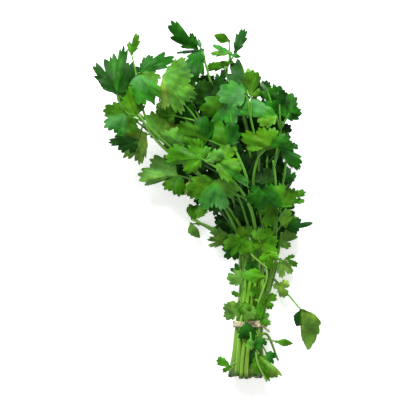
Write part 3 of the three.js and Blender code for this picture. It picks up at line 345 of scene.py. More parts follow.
# One side of a lobe's outline, from its base to near its tip: degrees off the rib (shares of the
# notch's angle where it meets a neighbour), share of the length, and the vein count, which is a
# whole number on a tooth and ends in a half between two.
FREE_SIDE = [(66, 0.1, 2.5), (44, 0.54, 2), (31, 0.5, 1.5), (21, 0.84, 1), (10, 0.8, 0.5)]
SMALL_FREE_SIDE = [(60, 0.12, 1.5), (32, 0.66, 1)]
JOINED_SIDE = [(0.64, 0.86, 1), (0.3, 0.8, 0.5)]
JOINED_LIMIT = 56  # degrees: two lobes whose half gap is less meet in a notch
SMALL_LENGTH = 15 * STEP  # shorter lobes have fewer teeth
NOTCH = {"by_gap": 0.011, "least": 0.3}  # how fast a notch deepens with its half angle, and its least reach
BACK_REACH = 1.2  # mm, how far a blade goes behind its hub
BACK_STEP = 24  # degrees between the columns there
BACK_START = 0.1  # share of a lobe at which its side begins
TEETH_FROM = 0.3  # share of a lobe from which the notches between its teeth are cut deeper
EDGE_STEPS = (2, 3)  # columns from tooth to notch, on a short lobe and on a long one
EDGE_ROUND = 0.85  # how round the edge is between them: 0 is straight

# The same for the fine leaf, which has rounder and fuller lobes and more teeth.
FULL_FREE = [(84, 0.1, 3.5), (66, 0.44, 3), (55, 0.4, 2.5), (41, 0.76, 2), (30, 0.7, 1.5),
             (16, 0.96, 1), (8, 0.91, 0.5)]
FULL_SMALL_FREE = [(78, 0.12, 2.5), (54, 0.54, 2), (42, 0.5, 1.5), (22, 0.88, 1), (11, 0.83, 0.5)]
FULL_JOINED = [(0.76, 0.86, 2), (0.58, 0.81, 1.5), (0.38, 0.97, 1), (0.19, 0.92, 0.5)]
FULL_SMALL_JOINED = [(0.58, 0.92, 1), (0.3, 0.87, 0.5)]
PLAIN_FREE = [(80, 0.12, 2), (62, 0.38, 1.5), (44, 0.61, 1), (28, 0.76, 0.75), (14, 0.88, 0.5)]
PLAIN_JOINED = [(0.76, 0.66, 1.5), (0.5, 0.78, 1), (0.25, 0.9, 0.5)]
PLAIN_LENGTH = 20  # mm, from which the notches of a plain leaf have teeth of its own kind
PLAIN_ROUGH = 0.035  # how deep its small teeth are, as a share of a lobe
TOOTH = 4.5  # the least width of a tooth at the edge, mm


# ---------------- small tools


def mix(a, b, t):
    """From a to b, by the share t: a + (b - a) · t."""
    return a + (b - a) * t


def smooth(t):
    """A rise from 0 to 1 that starts and ends level: 3t² - 2t³."""
    t = np.clip(t, 0, 1)
    return t * t * (3 - 2 * t)


def ease(value, low, high):
    """The same rise, while a value goes from low to high."""
    return smooth((value - low) / (high - low))


def flat(a, b):
    """The distance of two points on the plan."""
    return float(np.hypot(b[0] - a[0], b[1] - a[1]))


def ahead(point, angle, length):
    """The place on the plan at a distance from a point, on a heading in radians."""
    return point[0] + np.cos(angle) * length, point[1] + np.sin(angle) * length


def unit(rows):
    """Vectors, each brought to the length 1."""
    return rows / np.linalg.norm(rows, axis=1)[:, None]


def run_along(path):
    """The way along a path to each of its points."""
    return np.concatenate([[0], np.cumsum(np.linalg.norm(np.diff(path, axis=0), axis=1))])


def linear(code):
    """A colour's sRGB hex value as linear red, green and blue."""
    value = np.array([int(code[i:i + 2], 16) for i in (1, 3, 5)]) / 255
    return np.where(value <= 0.04045, value / 12.92, ((value + 0.055) / 1.055) ** 2.4)


class Dice:
    """A seeded source of numbers from 0 to 1 (mulberry32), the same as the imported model's."""

    def __init__(self, use, index, more=0):
        self.state = SEEDS[use] + SEED_STEP * index + more

    def __call__(self):
        mask = 0xFFFFFFFF
        self.state = (self.state + 0x6D2B79F5) & mask
        t = self.state
        t = ((t ^ (t >> 15)) * (t | 1)) & mask
        t ^= (t + (((t ^ (t >> 7)) * (t | 61)) & mask)) & mask
        return (t ^ (t >> 14)) / 4294967296

    def off(self, whole):
        """A number off 0, to either side, in a whole range."""
        return (self() - 0.5) * whole


def curve(knots, u):
    """Points of the open curve through all the knots. On each span it is the cubic whose slope at a
    knot is half the way from the knot before to the knot after."""
    k = np.asarray(knots, float)
    k = np.vstack([2 * k[0] - k[1], k, 2 * k[-1] - k[-2]])
    u = np.atleast_1d(np.asarray(u, float))
    i = np.clip(u.astype(int), 0, len(k) - 4)
    t = (u - i)[:, None]
    before, here, there, after = k[i], k[i + 1], k[i + 2], k[i + 3]
    m1, m2 = (there - before) / 2, (after - here) / 2
    cubic = 2 * here - 2 * there + m1 + m2
    square = -3 * here + 3 * there - 2 * m1 - m2
    return ((cubic * t + square) * t + m1) * t + here


# ---------------- where the sprigs lie


def stem_radius(y):
    """A stem's radius falls from foot to tie, and on to the crown."""
    below = mix(STEM_RADIUS["tie"], STEM_RADIUS["foot"], np.clip(y / FOOT["y"], 0, 1))
    above = mix(STEM_RADIUS["tie"], STEM_RADIUS["crown"], np.clip(y / CROWN_Y, 0, 1))
    return np.where(y < 0, below, above)


def stem_knots(plan, dice):
    """The points that a stem's curve runs through: cut end, tie, neck, and the route's own."""
    row, column = plan["slot"]
    across = (column - (ROWS[row] - 1) / 2) * STEM_PITCH
    up = (row - 2) * ROW_PITCH
    route = [(x * STEP, y * STEP) for x, y in plan["route"] or [plan["crown"]]]
    rise = plan.get("rise", ROW_RISE[row])
    cut = FOOT["y"] + dice.off(FOOT["ragged"])
    knots = [
        (across * FOOT["spread"] + FOOT["lean"], cut, TIE_Z + up * FOOT["spread"]),
        (across, 0, TIE_Z + up),
    ]
    neck = (across * NECK["spread"] + NECK["lean"], NECK["y"], TIE_Z + up * NECK["spread"])
    if route[-1][1] > NECK["y"] + NECK["clear"]:
        knots.append(neck)
    if "crown" in plan:
        swing = (mix(neck[0], route[0][0], 0.5), mix(neck[1], route[0][1], 0.5))
        route.insert(0, (mix(neck[0], swing[0], 0.75), swing[1]))
    start = knots[-1]
    total = flat(start, route[-1])
    for point in route:
        share = min(1, flat(start, point) / total)
        knots.append((*point, mix(start[2], rise, float(smooth(share)))))
    return knots


def stem_stops(knots):
    """The places along a stem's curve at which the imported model's tube has its corners."""
    stops = []
    for i in range(len(knots) - 1):
        steps = max(1, int(flat(knots[i], knots[i + 1]) / STEM_SEGMENT + 0.5))
        stops += [i + k / steps for k in range(steps)]
    return stops + [len(knots) - 1]


def stalk_root(stops, points, hub, start):
    """Where a stalk leaves its stem: the last place from which the hub lies within 45 degrees of the
    stem's own direction, or else the nearest. Gives the point and its place along the curve."""
    nearest, leaning = None, None
    for i in range(len(points) - 1):
        a, b = points[i], points[i + 1]
        for k in range(4):
            p = mix(a, b, k / 4)
            place = (p, mix(stops[i], stops[i + 1], k / 4))
            distance = flat(p, hub) if start is None else abs(p[1] - start)
            if p[1] < TIE_REACH and start is None:
                continue
            if nearest is None or distance < nearest[0]:
                nearest = (distance, place)
            dot = (b[0] - a[0]) * (hub[0] - p[0]) + (b[1] - a[1]) * (hub[1] - p[1])
            if dot > LEANING * flat(a, b) * flat(p, hub):
                leaning = place
    return leaning if start is None and leaning is not None else nearest[1]


def ruled_spray(hub, aim, dice):
    """One three-lobed spray of the rule, with its middle lobe on the given heading."""
    lobes = []
    for side in (-1, 1, 0):
        angle = aim + np.radians(side * RULE["lobe_angle"] + dice.off(RULE["lobe_jitter"]))
        length = (RULE["beside"] if side else RULE["ahead"]) * mix(*RULE["lobe_vary"], dice())
        lobes.append((*ahead(hub, angle, length), mix(*RULE["lobe_width"], dice())))
    # The rule's leaves, and the filling ones, take the deep tone: a painted shade for leaves inside the
    # bunch.
    return spray(*hub, lobes, "deep", calm=RULE["calm"], ruled=True)


def ruled_sprays(points, dice):
    """The sprays of a sprig that has a crown: a pair beside its stem, and one at the crown."""
    before, crown = points[-2], points[-1]
    heading = np.arctan2(crown[1] - before[1], crown[0] - before[0])
    root = mix(points[-3], crown, RULE["pair_at"])
    sprays = []
    for side in (-1, 1):
        aim = heading + np.radians(side * RULE["pair_angle"] + dice.off(RULE["pair_jitter"]))
        hub = ahead(root / STEP, aim, RULE["pair_reach"] * mix(*RULE["pair_vary"], dice()))
        sprays.append(ruled_spray(hub, aim, dice))
    return sprays + [ruled_spray(tuple(crown[:2] / STEP), heading, dice)]


# How unlike lobes are: the whole ranges of bank and rise, and the least and greatest arch and fold.
LOBE_VARY = {"bank": 0.2, "rise": 0.3, "arch": (0.1, 0.34), "fold": (-0.05, 0.25)}


def make_lobes(hub, tips, calm, dice):
    """The lobes of a leaf in order of their heading, each with the gap to the next one."""
    lobes = []
    for number, (x, y, *shape) in enumerate(tips):
        width, bank = (*shape, *(LOBE_WIDTH, 0)[len(shape):])
        dx, dy = x * STEP - hub[0], y * STEP - hub[1]
        lobes.append({
            "length": float(np.hypot(dx, dy)), "heading": float(np.degrees(np.arctan2(dy, dx))),
            "width": width, "number": number, "bank": bank + dice.off(LOBE_VARY["bank"]) * calm,
            "rise": dice.off(LOBE_VARY["rise"]) * calm, "arch": mix(*LOBE_VARY["arch"], dice()) * calm,
            "fold": mix(*LOBE_VARY["fold"], dice()) * calm,
        })
    lobes.sort(key=lambda lobe: lobe["heading"])
    for i, lobe in enumerate(lobes):
        after = lobes[(i + 1) % len(lobes)]["heading"]
        lobe["gap"] = after - lobe["heading"] + (0 if i + 1 < len(lobes) else 360)
        lobe["joined"] = lobe["gap"] / 2 < JOINED_LIMIT and len(lobes) > 1
    return lobes


def lobe_height(lobe, degrees, reach):
    """A lobe's own height at an angle off its rib and a reach from the hub: it rises or falls with
    its reach, arches along the rib, and folds and banks across it."""
    share = reach / lobe["length"]
    aside = np.sin(np.radians(degrees)) * reach
    arched = lobe["arch"] * lobe["length"] * (0.35 * share - share**2)
    return lobe["rise"] * reach + arched + lobe["fold"] * np.abs(aside) + lobe["bank"] * aside


def side_points(lobe, joined, half_gap):
    """The outline on one side of a lobe, base first: degrees off the rib, share, vein count."""
    small = lobe["length"] < SMALL_LENGTH
    if joined:
        return [] if small else [(turn * half_gap, share, vein) for turn, share, vein in JOINED_SIDE]
    side = SMALL_FREE_SIDE if small else FREE_SIDE
    return [(turn * (lobe["width"] if i else 1), share, vein) for i, (turn, share, vein) in enumerate(side)]


def full_side(lobe, joined, half_gap, sign, plain=False):
    """The fine outline on one side of a lobe, base first, in the same terms. A width may be a pair:
    clockwise and anticlockwise of the rib."""
    if joined:
        scale = half_gap
        teeth = np.radians(half_gap) * lobe["length"] / TOOTH
        side = FULL_JOINED if teeth > 2 else FULL_SMALL_JOINED if teeth > 1 else []
        side = PLAIN_JOINED if plain and lobe["length"] > PLAIN_LENGTH else side
    else:
        scale = lobe["width"][sign > 0] if isinstance(lobe["width"], tuple) else lobe["width"]
        side = FULL_SMALL_FREE if lobe["length"] < SMALL_LENGTH else FULL_FREE
        side = PLAIN_FREE if plain else side
    return [(turn * scale, share, vein) for turn, share, vein in side]


def read_lay(points, hub, lobes):
    """A leaf's height and its two slopes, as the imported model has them. The blade's upper and lower
    corner at a tooth share their place on the plan, and the mean of their heights, less the lobe's
    own height there, is height + slope east · x + slope north · y, solved by least squares."""
    rows, heights = [], []
    for i, lobe in enumerate(lobes):
        for sign, other in ((-1, lobes[i - 1]), (1, lobe)):
            for degrees, share, _ in [(0, 1, 0)] + side_points(lobe, other["joined"], other["gap"] / 2):
                reach = share * lobe["length"]
                dx, dy = ahead((0, 0), np.radians(lobe["heading"] + sign * degrees), reach)
                near = np.abs(points[:, :2] - (hub[0] + dx, hub[1] + dy)).max(1) < CORNER_MISS
                if near.sum() < 2:
                    continue
                z = points[near, 2]
                rows.append((1, dx, dy))
                heights.append((z.max() + z.min()) / 2 - lobe_height(lobe, sign * degrees, reach))
    if len(rows) < 4:
        return None
    return np.linalg.lstsq(np.array(rows), np.array(heights), rcond=None)[0]


def stalk_knots(points, root, hub, height, via, bare):
    """The three points of a stalk's curve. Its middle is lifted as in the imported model: the lift
    whose ring of corners is found among the node's own points."""
    end = (*hub, height - (0 if bare else HUB_DROP))
    middle = np.array(via) * STEP if via else (np.array(root[:2]) + hub) / 2
    steps = 4 if via else 3 if flat(root, hub) > LONG_STALK else 2
    shares = np.arange(1, steps) / steps
    radii = mix(STALK_RADIUS["root"], STALK_RADIUS["hub"], shares)
    best = None
    for lift in STALK_LIFTS:
        knots = [tuple(root), (*middle, (root[2] + height) / 2 + lift), end]
        gaps = np.linalg.norm(points[None] - curve(knots, 2 * shares)[:, None], axis=2)
        miss = np.abs(np.sort(gaps, axis=1)[:, :3] - radii[:, None]).mean()
        if best is None or miss < best[0]:
            best = (miss, knots)
    return best[1]


def fit_room(hub, lobes):
    """Shortens the lobes whose tips would leave the room, and gives how far the hub moves into it."""
    level, left, right = np.array(ROOM).T * STEP
    x = np.clip(hub[0], np.interp(hub[1], level, left) + ROOM_EDGE,
                np.interp(hub[1], level, right) - ROOM_EDGE)
    y = min(hub[1], level[-1] - ROOM_EDGE)
    for lobe in lobes:
        for _ in range(SHORTER["times"]):
            tip_x, tip_y = ahead((x, y), np.radians(lobe["heading"]), lobe["length"])
            low, high = np.interp(tip_y, level, left), np.interp(tip_y, level, right)
            if low < tip_x < high and level[0] < tip_y < level[-1]:
                break
            lobe["length"] *= SHORTER["by"]
    return np.array([x - hub[0], y - hub[1]])


def lay_sprig(index):
    """Everything that is known of one sprig: its knots, and for each laid spray its stalk's knots,
    its lobes, height and slopes."""
    plan = PLAN[index]
    node = frame["nodes"]["sprig_" + plan["name"]]
    points = np.empty(len(node.data.vertices) * 3, np.float32)
    node.data.vertices.foreach_get("co", points)
    points = np.unique((points.reshape(-1, 3) * 1000 - PLAN_ORIGIN).round(3), axis=0)
    knots = stem_knots(plan, Dice("stem", index))
    stops = stem_stops(knots)
    corners = curve(knots, stops)
    laid = []

    def begin(item):
        """The hub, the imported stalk's root, and the root on the curve itself."""
        hub = (item["hub"][0] * STEP, item["hub"][1] * STEP)
        start = item["start"] * STEP if "start" in item else None
        root, place = stalk_root(stops, corners, hub, start)
        return hub, root, curve(knots, place)[0]

    dice = Dice("leaves", index)
    for item in ruled_sprays(corners, dice) if "crown" in plan else plan["sprays"]:
        hub, root, own_root = begin(item)
        lobes = make_lobes(hub, item["lobes"], item.get("calm", 1), dice)
        if lobes:
            dice(), dice()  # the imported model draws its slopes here
            lay = read_lay(points, hub, lobes)
        else:
            near = np.linalg.norm(points[:, :2] - hub, axis=1) < 1
            lay = np.array([points[near, 2].mean(), 0, 0]) if near.any() else None
        if "z" not in item:
            dice()  # and its height here
        if lay is None:
            continue
        stalk = stalk_knots(points, root, hub, lay[0], item.get("via"), not lobes)
        lift = item.get("lift", 0)
        lay[0] += lift
        moved = fit_room(hub, lobes) if "ruled" in item else np.array(item.get("shift", (0, 0))) * STEP
        if "full" in item:
            lobes = make_lobes(hub, item["full"], item.get("calm_full", 1), Dice("full", index, len(laid)))
        moved = np.array([*moved, lift])
        stalk = [tuple(own_root), tuple(stalk[1] + moved / 2), tuple(stalk[2] + moved)]
        laid.append({**item, "hub_mm": (hub[0] + moved[0], hub[1] + moved[1]), "lobes": lobes, "lay": lay,
                     "stalk": stalk})
    dice = Dice("more", index)
    for item in plan.get("more", ()):
        hub, _, root = begin(item)
        lobes = make_lobes(hub, item["lobes"], 1, dice)
        tilt = item.get("tilt", (dice.off(MORE_SLOPE), dice.off(MORE_SLOPE)))
        middle = np.array(item["via"]) * STEP if "via" in item else (root[:2] + hub) / 2
        stalk = [tuple(root), (*middle, (root[2] + item["z"]) / 2 + 2), (*hub, item["z"] - HUB_DROP)]
        laid.append({**item, "hub_mm": hub, "lobes": lobes, "lay": np.array([item["z"], *tilt]),
                     "stalk": stalk})
    if "crown" in plan:
        laid += filler_sprays(knots, Dice("filler", index))
    return {"name": plan["name"], "knots": knots, "sprays": laid}


def filler_sprays(knots, dice):
    """Leaves that fill the inside of the bunch, on stems that have a crown: to one side of the stem
    and then the other, from above the neck to the crown, near the stem's own height."""
    sprays = []
    top = len(knots) - 1
    for number in range(FILLER["count"]):
        place = mix(FILLER["first"], FILLER["last"], (number + dice()) / FILLER["count"]) * (top - 2) + 2
        here, beyond = curve(knots, [place, min(place + 0.05, top)])
        heading = np.arctan2(beyond[1] - here[1], beyond[0] - here[0]) if place < top - 0.06 else np.pi / 2
        aim = heading + (1 if number % 2 else -1) * np.radians(mix(*FILLER["turn"], dice()))
        hub = ahead(here / STEP, aim, mix(*FILLER["reach"], dice()))
        item = ruled_spray(hub, aim, dice)
        hub = (hub[0] * STEP, hub[1] * STEP)
        lobes = make_lobes(hub, item["lobes"], 1, dice)
        hub = tuple(hub + fit_room(hub, lobes))
        height = max(FILLER["lowest"], here[2] + mix(*FILLER["rise"], dice()))
        lay = np.array([height, dice.off(FILLER["slope"]), dice.off(FILLER["slope"])])
        middle = mix(here, np.array([*hub, height]), 0.5) + (0, 0, 1)
        sprays.append({**item, "hub_mm": hub, "lobes": lobes, "lay": lay,
                       "stalk": [tuple(here), tuple(middle), (*hub, height - HUB_DROP)]})
    return sprays


# ---------------- surfaces

# How a tube's end is rounded: how far its middle stands out, as a share of the radius, and its rim,
# as shares of that and of the tube's width.
END = {"reach": 0.35, "rim": 0.8, "width": 0.72}
SIDES = {"stem": 21, "stalk": 9, "ply": 8}
SHARP = 50  # degrees, from which an edge is shaded sharp


def ring_faces(rings, sides):
    """Four-cornered faces between closed rings of places, ring after ring."""
    side = np.arange(sides)
    start = sides * np.arange(rings - 1)[:, None]
    here, beside = start + side, start + (side + 1) % sides
    return np.stack([here, beside, beside + sides, here + sides], axis=-1).reshape(-1, 4)


def fan_faces(pole, ring):
    """Three-cornered faces from one place to each side of a closed ring of places."""
    return np.stack([np.full(len(ring), pole), ring, np.roll(ring, -1)], axis=1)


class Shell:
    """A piece's closed surfaces as they are gathered: places, faces, finish of each face, and three values
    of each place: tint (a colour, which for some leaf tones is painted light or shade, and the amount of
    painted sheen), vein (distance from the nearest vein and that vein's half width, in millimetres, and
    share of the way from hub to edge) and grain (round and along a stem)."""

    def __init__(self):
        self.places, self.faces, self.finishes = [], [], []
        self.tints, self.veins, self.grains = [], [], []
        self.count = 0

    def add(self, places, faces, finish, tint, vein=None, grain=None):
        """Adds places and their faces, given as rows of three or four place numbers."""
        size = len(places)
        self.places.append(places)
        tint = np.asarray(tint, float)
        tint = tint if tint.shape[-1] == 4 else np.insert(tint, 3, 0, axis=-1)
        self.tints.append(np.broadcast_to(tint, (size, 4)))
        self.veins.append(np.zeros((size, 3)) if vein is None else vein)
        self.grains.append(np.zeros((size, 2)) if grain is None else grain)
        self.faces += [rows + self.count for rows in faces]
        self.finishes += [np.full(len(rows), finish) for rows in faces]
        self.count += size

    def mesh(self, name, materials):
        """The gathered surfaces as one mesh object at the origin, in the frame's metres."""
        def row(values, kind=np.float32):
            return np.ascontiguousarray(values, kind).ravel()

        corners = row(np.concatenate([rows.ravel() for rows in self.faces]), np.int32)
        sizes = np.concatenate([np.full(len(rows), rows.shape[1]) for rows in self.faces])
        mesh = bpy.data.meshes.new(name)
        mesh.vertices.add(self.count)
        mesh.vertices.foreach_set("co", row((np.vstack(self.places) + PLAN_ORIGIN) / 1000))
        mesh.loops.add(len(corners))
        mesh.loops.foreach_set("vertex_index", corners)
        mesh.polygons.add(len(sizes))
        mesh.polygons.foreach_set("loop_start", row(np.cumsum(sizes) - sizes, np.int32))
        mesh.update(calc_edges=True)
        for material in materials:
            mesh.materials.append(material)
        mesh.polygons.foreach_set("material_index", row(np.concatenate(self.finishes), np.int32))
        tint = mesh.attributes.new("tint", "FLOAT_COLOR", "POINT")
        tint.data.foreach_set("color", row(np.vstack(self.tints)))
        vein = mesh.attributes.new("vein", "FLOAT_VECTOR", "POINT")
        vein.data.foreach_set("vector", row(np.vstack(self.veins)))
        mesh.uv_layers.new(name="grain").data.foreach_set("uv", row(np.vstack(self.grains)[corners]))
        mesh.validate()
        mesh.shade_smooth()
        mesh.set_sharp_from_angle(angle=np.radians(SHARP))
        return place_in_scene(name, mesh)


def place_in_scene(name, data):
    """A new object of the scene, for a mesh, a light or a camera."""
    thing = bpy.data.objects.new(name, data)
    bpy.context.scene.collection.objects.link(thing)
    return thing


def tube(shell, path, radii, sides, finish, tint, ribs=0, rib_depth=0.0, twist=0.0, pith=None):
    """Carries a round or ribbed profile along a path: at each of its points, the profile's radius is
    r · (1 + depth · cos(ribs · angle)), in the plane across the path. Ends are rounded over. Pith is
    the colour inside the rim of the first end, where it differs."""
    tangent = unit(np.gradient(path, axis=0))
    guide = np.eye(3)[np.argmin(np.abs(path[-1] - path[0]) + (0, 0, -1e-6))]
    normal = unit(guide - (tangent @ guide)[:, None] * tangent)
    side = np.cross(tangent, normal)
    angle = 2 * np.pi * np.arange(sides) / sides
    turn = (angle + twist)[:, None]
    wall = radii[:, None] * (1 + rib_depth * np.cos(ribs * angle))
    ring = path[:, None] + wall[..., None] * (np.cos(turn) * normal[:, None] + np.sin(turn) * side[:, None])
    # A smaller ring just past each end, and a point in the middle, close the tube.
    rims, caps = [], []
    for end, way in ((0, -1), (-1, 1)):
        reach = way * tangent[end] * radii[end] * END["reach"]
        caps.append(path[end] + reach)
        rims.append(mix(caps[-1], ring[end] + reach * END["rim"], END["width"])[None])
    rings = np.vstack([rims[0], ring, rims[1]])
    count = len(rings)
    places = np.vstack([rings.reshape(-1, 3), *caps])
    k = np.arange(sides)
    bottom = fan_faces(count * sides, k)[:, [0, 2, 1]]
    top = fan_faces(count * sides + 1, (count - 1) * sides + k)
    run = run_along(path)
    run = np.concatenate([[0], run, [run[-1]]])
    grain = np.stack(np.broadcast_arrays(angle / (2 * np.pi), run[:, None]), axis=-1).reshape(-1, 2)
    grain = np.vstack([grain, [0, 0], [0, run[-1]]])
    if tint.ndim == 2:
        face, last = tint[:1] if pith is None else pith[None], tint[-1:]
        tint = np.vstack([np.repeat(np.vstack([face, tint, last]), sides, axis=0), face, last])
    shell.add(places, [ring_faces(count, sides), bottom, top], finish, tint, grain=grain)


# ---------------- leaves

RING_STEP, RING_COUNT = 2.4, (6, 13)  # mm between a leaf's rings, and how many it has
LEAF_SIZE = 30  # mm, the length of a leaf at which the settings hold
EDGE_THIN = 0.45  # a blade's thickness at its edge, as a share of that at the hub
BULGE_SPAN = 0.86  # how much of a half wave the bulges make from hub to edge
EDGE_WAVES = 4  # waves once round a leaf
LEAF_PHASE, STEM_PHASE = 6.3, 6  # radians, the ranges of the phases of leaves' and of stems' swings
# A blade's swells, one way and the other: millimetres to a radian of their sines. The broad ones lie
# at 45 degrees and are higher by a factor, and the small ones are turned by a slope.
SWELL_SIZES = {"middling": (4.2, 3.8), "broad": (9, 8), "small": (1.6, 1.4)}
BROAD_HEIGHT, SMALL_TURN = 1.4, 0.4
DROOP_VARY = (0.2, 1.6)  # the least and the greatest factor to the droop
VEIN_STARTS = (0.15, 0.5)  # shares of the way to the edge between which side veins come out
VEIN_THIN = 0.35  # a vein's width at the tip, as a share of that at the hub
# How a leaf's colour varies: warmer or cooler, lighter or darker, and near the hub younger.
WARM, LIGHT = (0.22, -0.3), 0.26
YOUNG = {"share": 0.3, "until": 0.45, "by": (1.9, 1.6, 1.4), "and": 0.003}


def leaf_columns(lobes, leaf, plain, cut):
    """The columns that run from a leaf's hub to its edge, anticlockwise. For each: its lobe, the
    next lobe it blends with and by how much, degrees off the rib, the angle the lobe's side ends at,
    its reach in millimetres, its vein count, and whether it bends towards the rib."""
    columns = []
    count = len(lobes)
    for i, lobe in enumerate(lobes):
        long = lobe["length"] > SMALL_LENGTH
        for sign in (-1, 1):
            other = lobes[i - 1] if sign < 0 else lobe
            beside = (i + sign) % count
            half = other["gap"] / 2
            points = full_side(lobe, other["joined"], half, sign, plain)
            if other["joined"]:
                # The notch lies nearer to the hub the wider apart the lobes are.
                shorter = min(lobe["length"], lobes[beside]["length"])
                depth = leaf.notch_reach - half * NOTCH["by_gap"] - leaf.notch_vary * other["rise"]
                deeper = cut.get(other["number"], 0) if isinstance(cut, dict) else cut
                notch = max(NOTCH["least"], depth - deeper) * shorter / lobe["length"]
                points = [(half, notch, points[0][2] + 0.5 if points else 0.5)] + points
            limit = points[0][0]
            stops = [(degrees, share - (leaf.tooth_depth if vein % 1 else 0) * (share > TEETH_FROM), vein)
                     for degrees, share, vein in points] + [(0, 1, 0)]
            side = []
            for (d0, s0, v0), (d1, s1, v1) in zip(stops, stops[1:]):
                steps = EDGE_STEPS[long]
                t = np.arange(steps) / steps
                rising = v1 % 1 == 0  # from a notch up to a tooth, or down from a tooth
                round_over = np.sin(t * np.pi / 2) if rising else 1 - np.cos(t * np.pi / 2)
                rough = PLAIN_ROUGH if plain and long else 0
                side += [(mix(d0, d1, a), mix(s0, s1, e) - rough * (k % 2), mix(v0, v1, a))
                         for k, (a, e) in enumerate(zip(t, mix(t, round_over, EDGE_ROUND)))]
            if sign > 0:
                side = [(0, 1, 0)] + side[::-1]
            for degrees, share, vein in side:
                near = smooth((abs(degrees) / limit - 0.5) / 0.5) / 2 if other["joined"] else 0.0
                columns.append((i, beside, near, sign * degrees, limit, share * lobe["length"], vein, 1))
        if not lobe["joined"]:
            # The blade goes round behind the hub, from this lobe's side to the next one's.
            after = lobes[(i + 1) % count]
            free = full_side(lobe, False, 90, 1, plain)[0][0]
            open_angle = lobe["gap"] - free - full_side(after, False, 90, -1, plain)[0][0]
            steps = max(1, int(open_angle / BACK_STEP))
            reach, vein = (columns[-1][5], BACK_START * after["length"]), columns[-1][6]
            for t in np.arange(1, steps) / steps:
                wall = mix(BACK_REACH, mix(*reach, t), abs(2 * t - 1) ** 3)
                columns.append((i, (i + 1) % count, smooth(t), free + open_angle * t, 360, wall, vein, 0))
    return columns


def off_table(z):
    """Heights that would be near or under the table, eased so that they stay above it: below 3 mm,
    0.5 + 2.5 · e^((z - 3) / 2.5)."""
    return np.where(z < 3, 0.5 + 2.5 * np.exp((np.minimum(z, 3) - 3) / 2.5), z)


def leaf_surface(item, leaf, dice):
    """A leaf's middle surface as rings of places round its hub, with the vein values.

    Column by column, a place lies at share t of the column's reach from the hub. Its angle off the
    rib is limit · (angle / limit) ^ (1 + lean · (1 - t)), so that the columns leave the rib one after
    another as side veins do. Its height is the lobe's own, blended with its neighbour's near their
    notch, plus height + slope · place, plus a bulge between the veins that is highest a little past
    half way out, plus a wave along the edge, three kinds of swells and a droop of the tips. Its
    distance from the nearest vein is how far its vein count is from a whole number, over the count's
    change from column to column, times the distance between two columns there."""
    lobes, hub = item["lobes"], np.array(item["hub_mm"])
    table = np.array(leaf_columns(lobes, leaf, "plain" in item, item.get("cut", 0)))
    lobe, beside = table[:, 0].astype(int), table[:, 1].astype(int)
    blend, off, limit, reach, vein, bends = table[:, 2:].T
    each = {key: np.array([one[key] for one in lobes])
            for key in ("length", "heading", "arch", "rise", "fold", "bank")}
    length = each["length"][lobe]
    biggest = each["length"].max()
    rings = int(np.clip(biggest / RING_STEP, *RING_COUNT))
    t = ((np.arange(rings) + 1) / rings)[:, None] ** 0.9
    turn = np.sign(off) * limit * (np.abs(off) / limit) ** (1 + leaf.vein_lean * (1 - t) * bends)
    out = reach * t
    angle = np.radians(each["heading"][lobe] + turn)
    dx, dy = np.cos(angle) * out, np.sin(angle) * out

    def own(which):
        """The height of one lobe at each place, with a soft fold and curled sides."""
        one = {key: value[which] for key, value in each.items()}
        degrees = (np.degrees(angle) - one["heading"] + 180) % 360 - 180
        aside = np.abs(np.sin(np.radians(degrees)) * out)
        crease = aside - np.sqrt(aside**2 + leaf.soft**2) + leaf.soft
        return lobe_height(one, degrees, out) - one["fold"] * crease - leaf.cup * aside**2 / one["length"]

    def swells(one_way, other_way, kind, phases):
        """Swells that cross each other: a sine one way times a sine the other, moved by their phases."""
        sizes = SWELL_SIZES[kind]
        return np.sin(one_way / sizes[0] + phases[0]) * np.sin(other_way / sizes[1] + phases[1])

    height, east, north = item["lay"]
    size = biggest / LEAF_SIZE
    between = 1 - np.abs(2 * (vein - np.floor(vein)) - 1)  # 0 on a vein, 1 half way to the next
    bulge = leaf.bulge * size * smooth(between) * np.sin(np.pi * t * BULGE_SPAN) * smooth(t / 0.5)
    phase = [dice() * LEAF_PHASE for _ in range(7)]
    wave = leaf.wave * size * np.sin(EDGE_WAVES * angle + phase[0]) * t**3
    wave += leaf.swell * swells(dx, dy, "middling", phase[1:3]) * smooth(t * 1.4)
    wave += leaf.swell * BROAD_HEIGHT * size * swells(dx + dy, dx - dy, "broad", phase[3:5]) * t
    one_way, other_way = dx + SMALL_TURN * dy, dy - SMALL_TURN * dx
    wave += leaf.crumple * swells(one_way, other_way, "small", phase[5:]) * smooth(t * 1.6)
    far = out / length
    droop = -leaf.droop * mix(*DROOP_VARY, dice()) * length / LEAF_SIZE * far**3
    z = mix(own(lobe), own(beside), blend) + height + east * dx + north * dy + bulge + wave + droop
    surface = np.stack([hub[0] + dx, hub[1] + dy, off_table(z)], axis=-1)
    spacing = np.abs(np.gradient(turn, axis=1))
    vein_step = np.abs(np.gradient(vein))[None] + 1e-3
    gap = np.abs(vein - np.round(vein))[None] / vein_step * np.radians(spacing) * out
    side_vein = (np.round(vein) > 0.5)[None]
    width = np.where(side_vein, leaf.vein_width * ease(t, *VEIN_STARTS), leaf.rib_width)
    width = width * mix(1, VEIN_THIN, np.clip(far, 0, 1)) * np.sqrt(size)
    values = np.stack([gap, width, np.broadcast_to(t, gap.shape)], axis=-1)
    return np.array([*hub, height]), surface, values, (lobe, beside, blend)


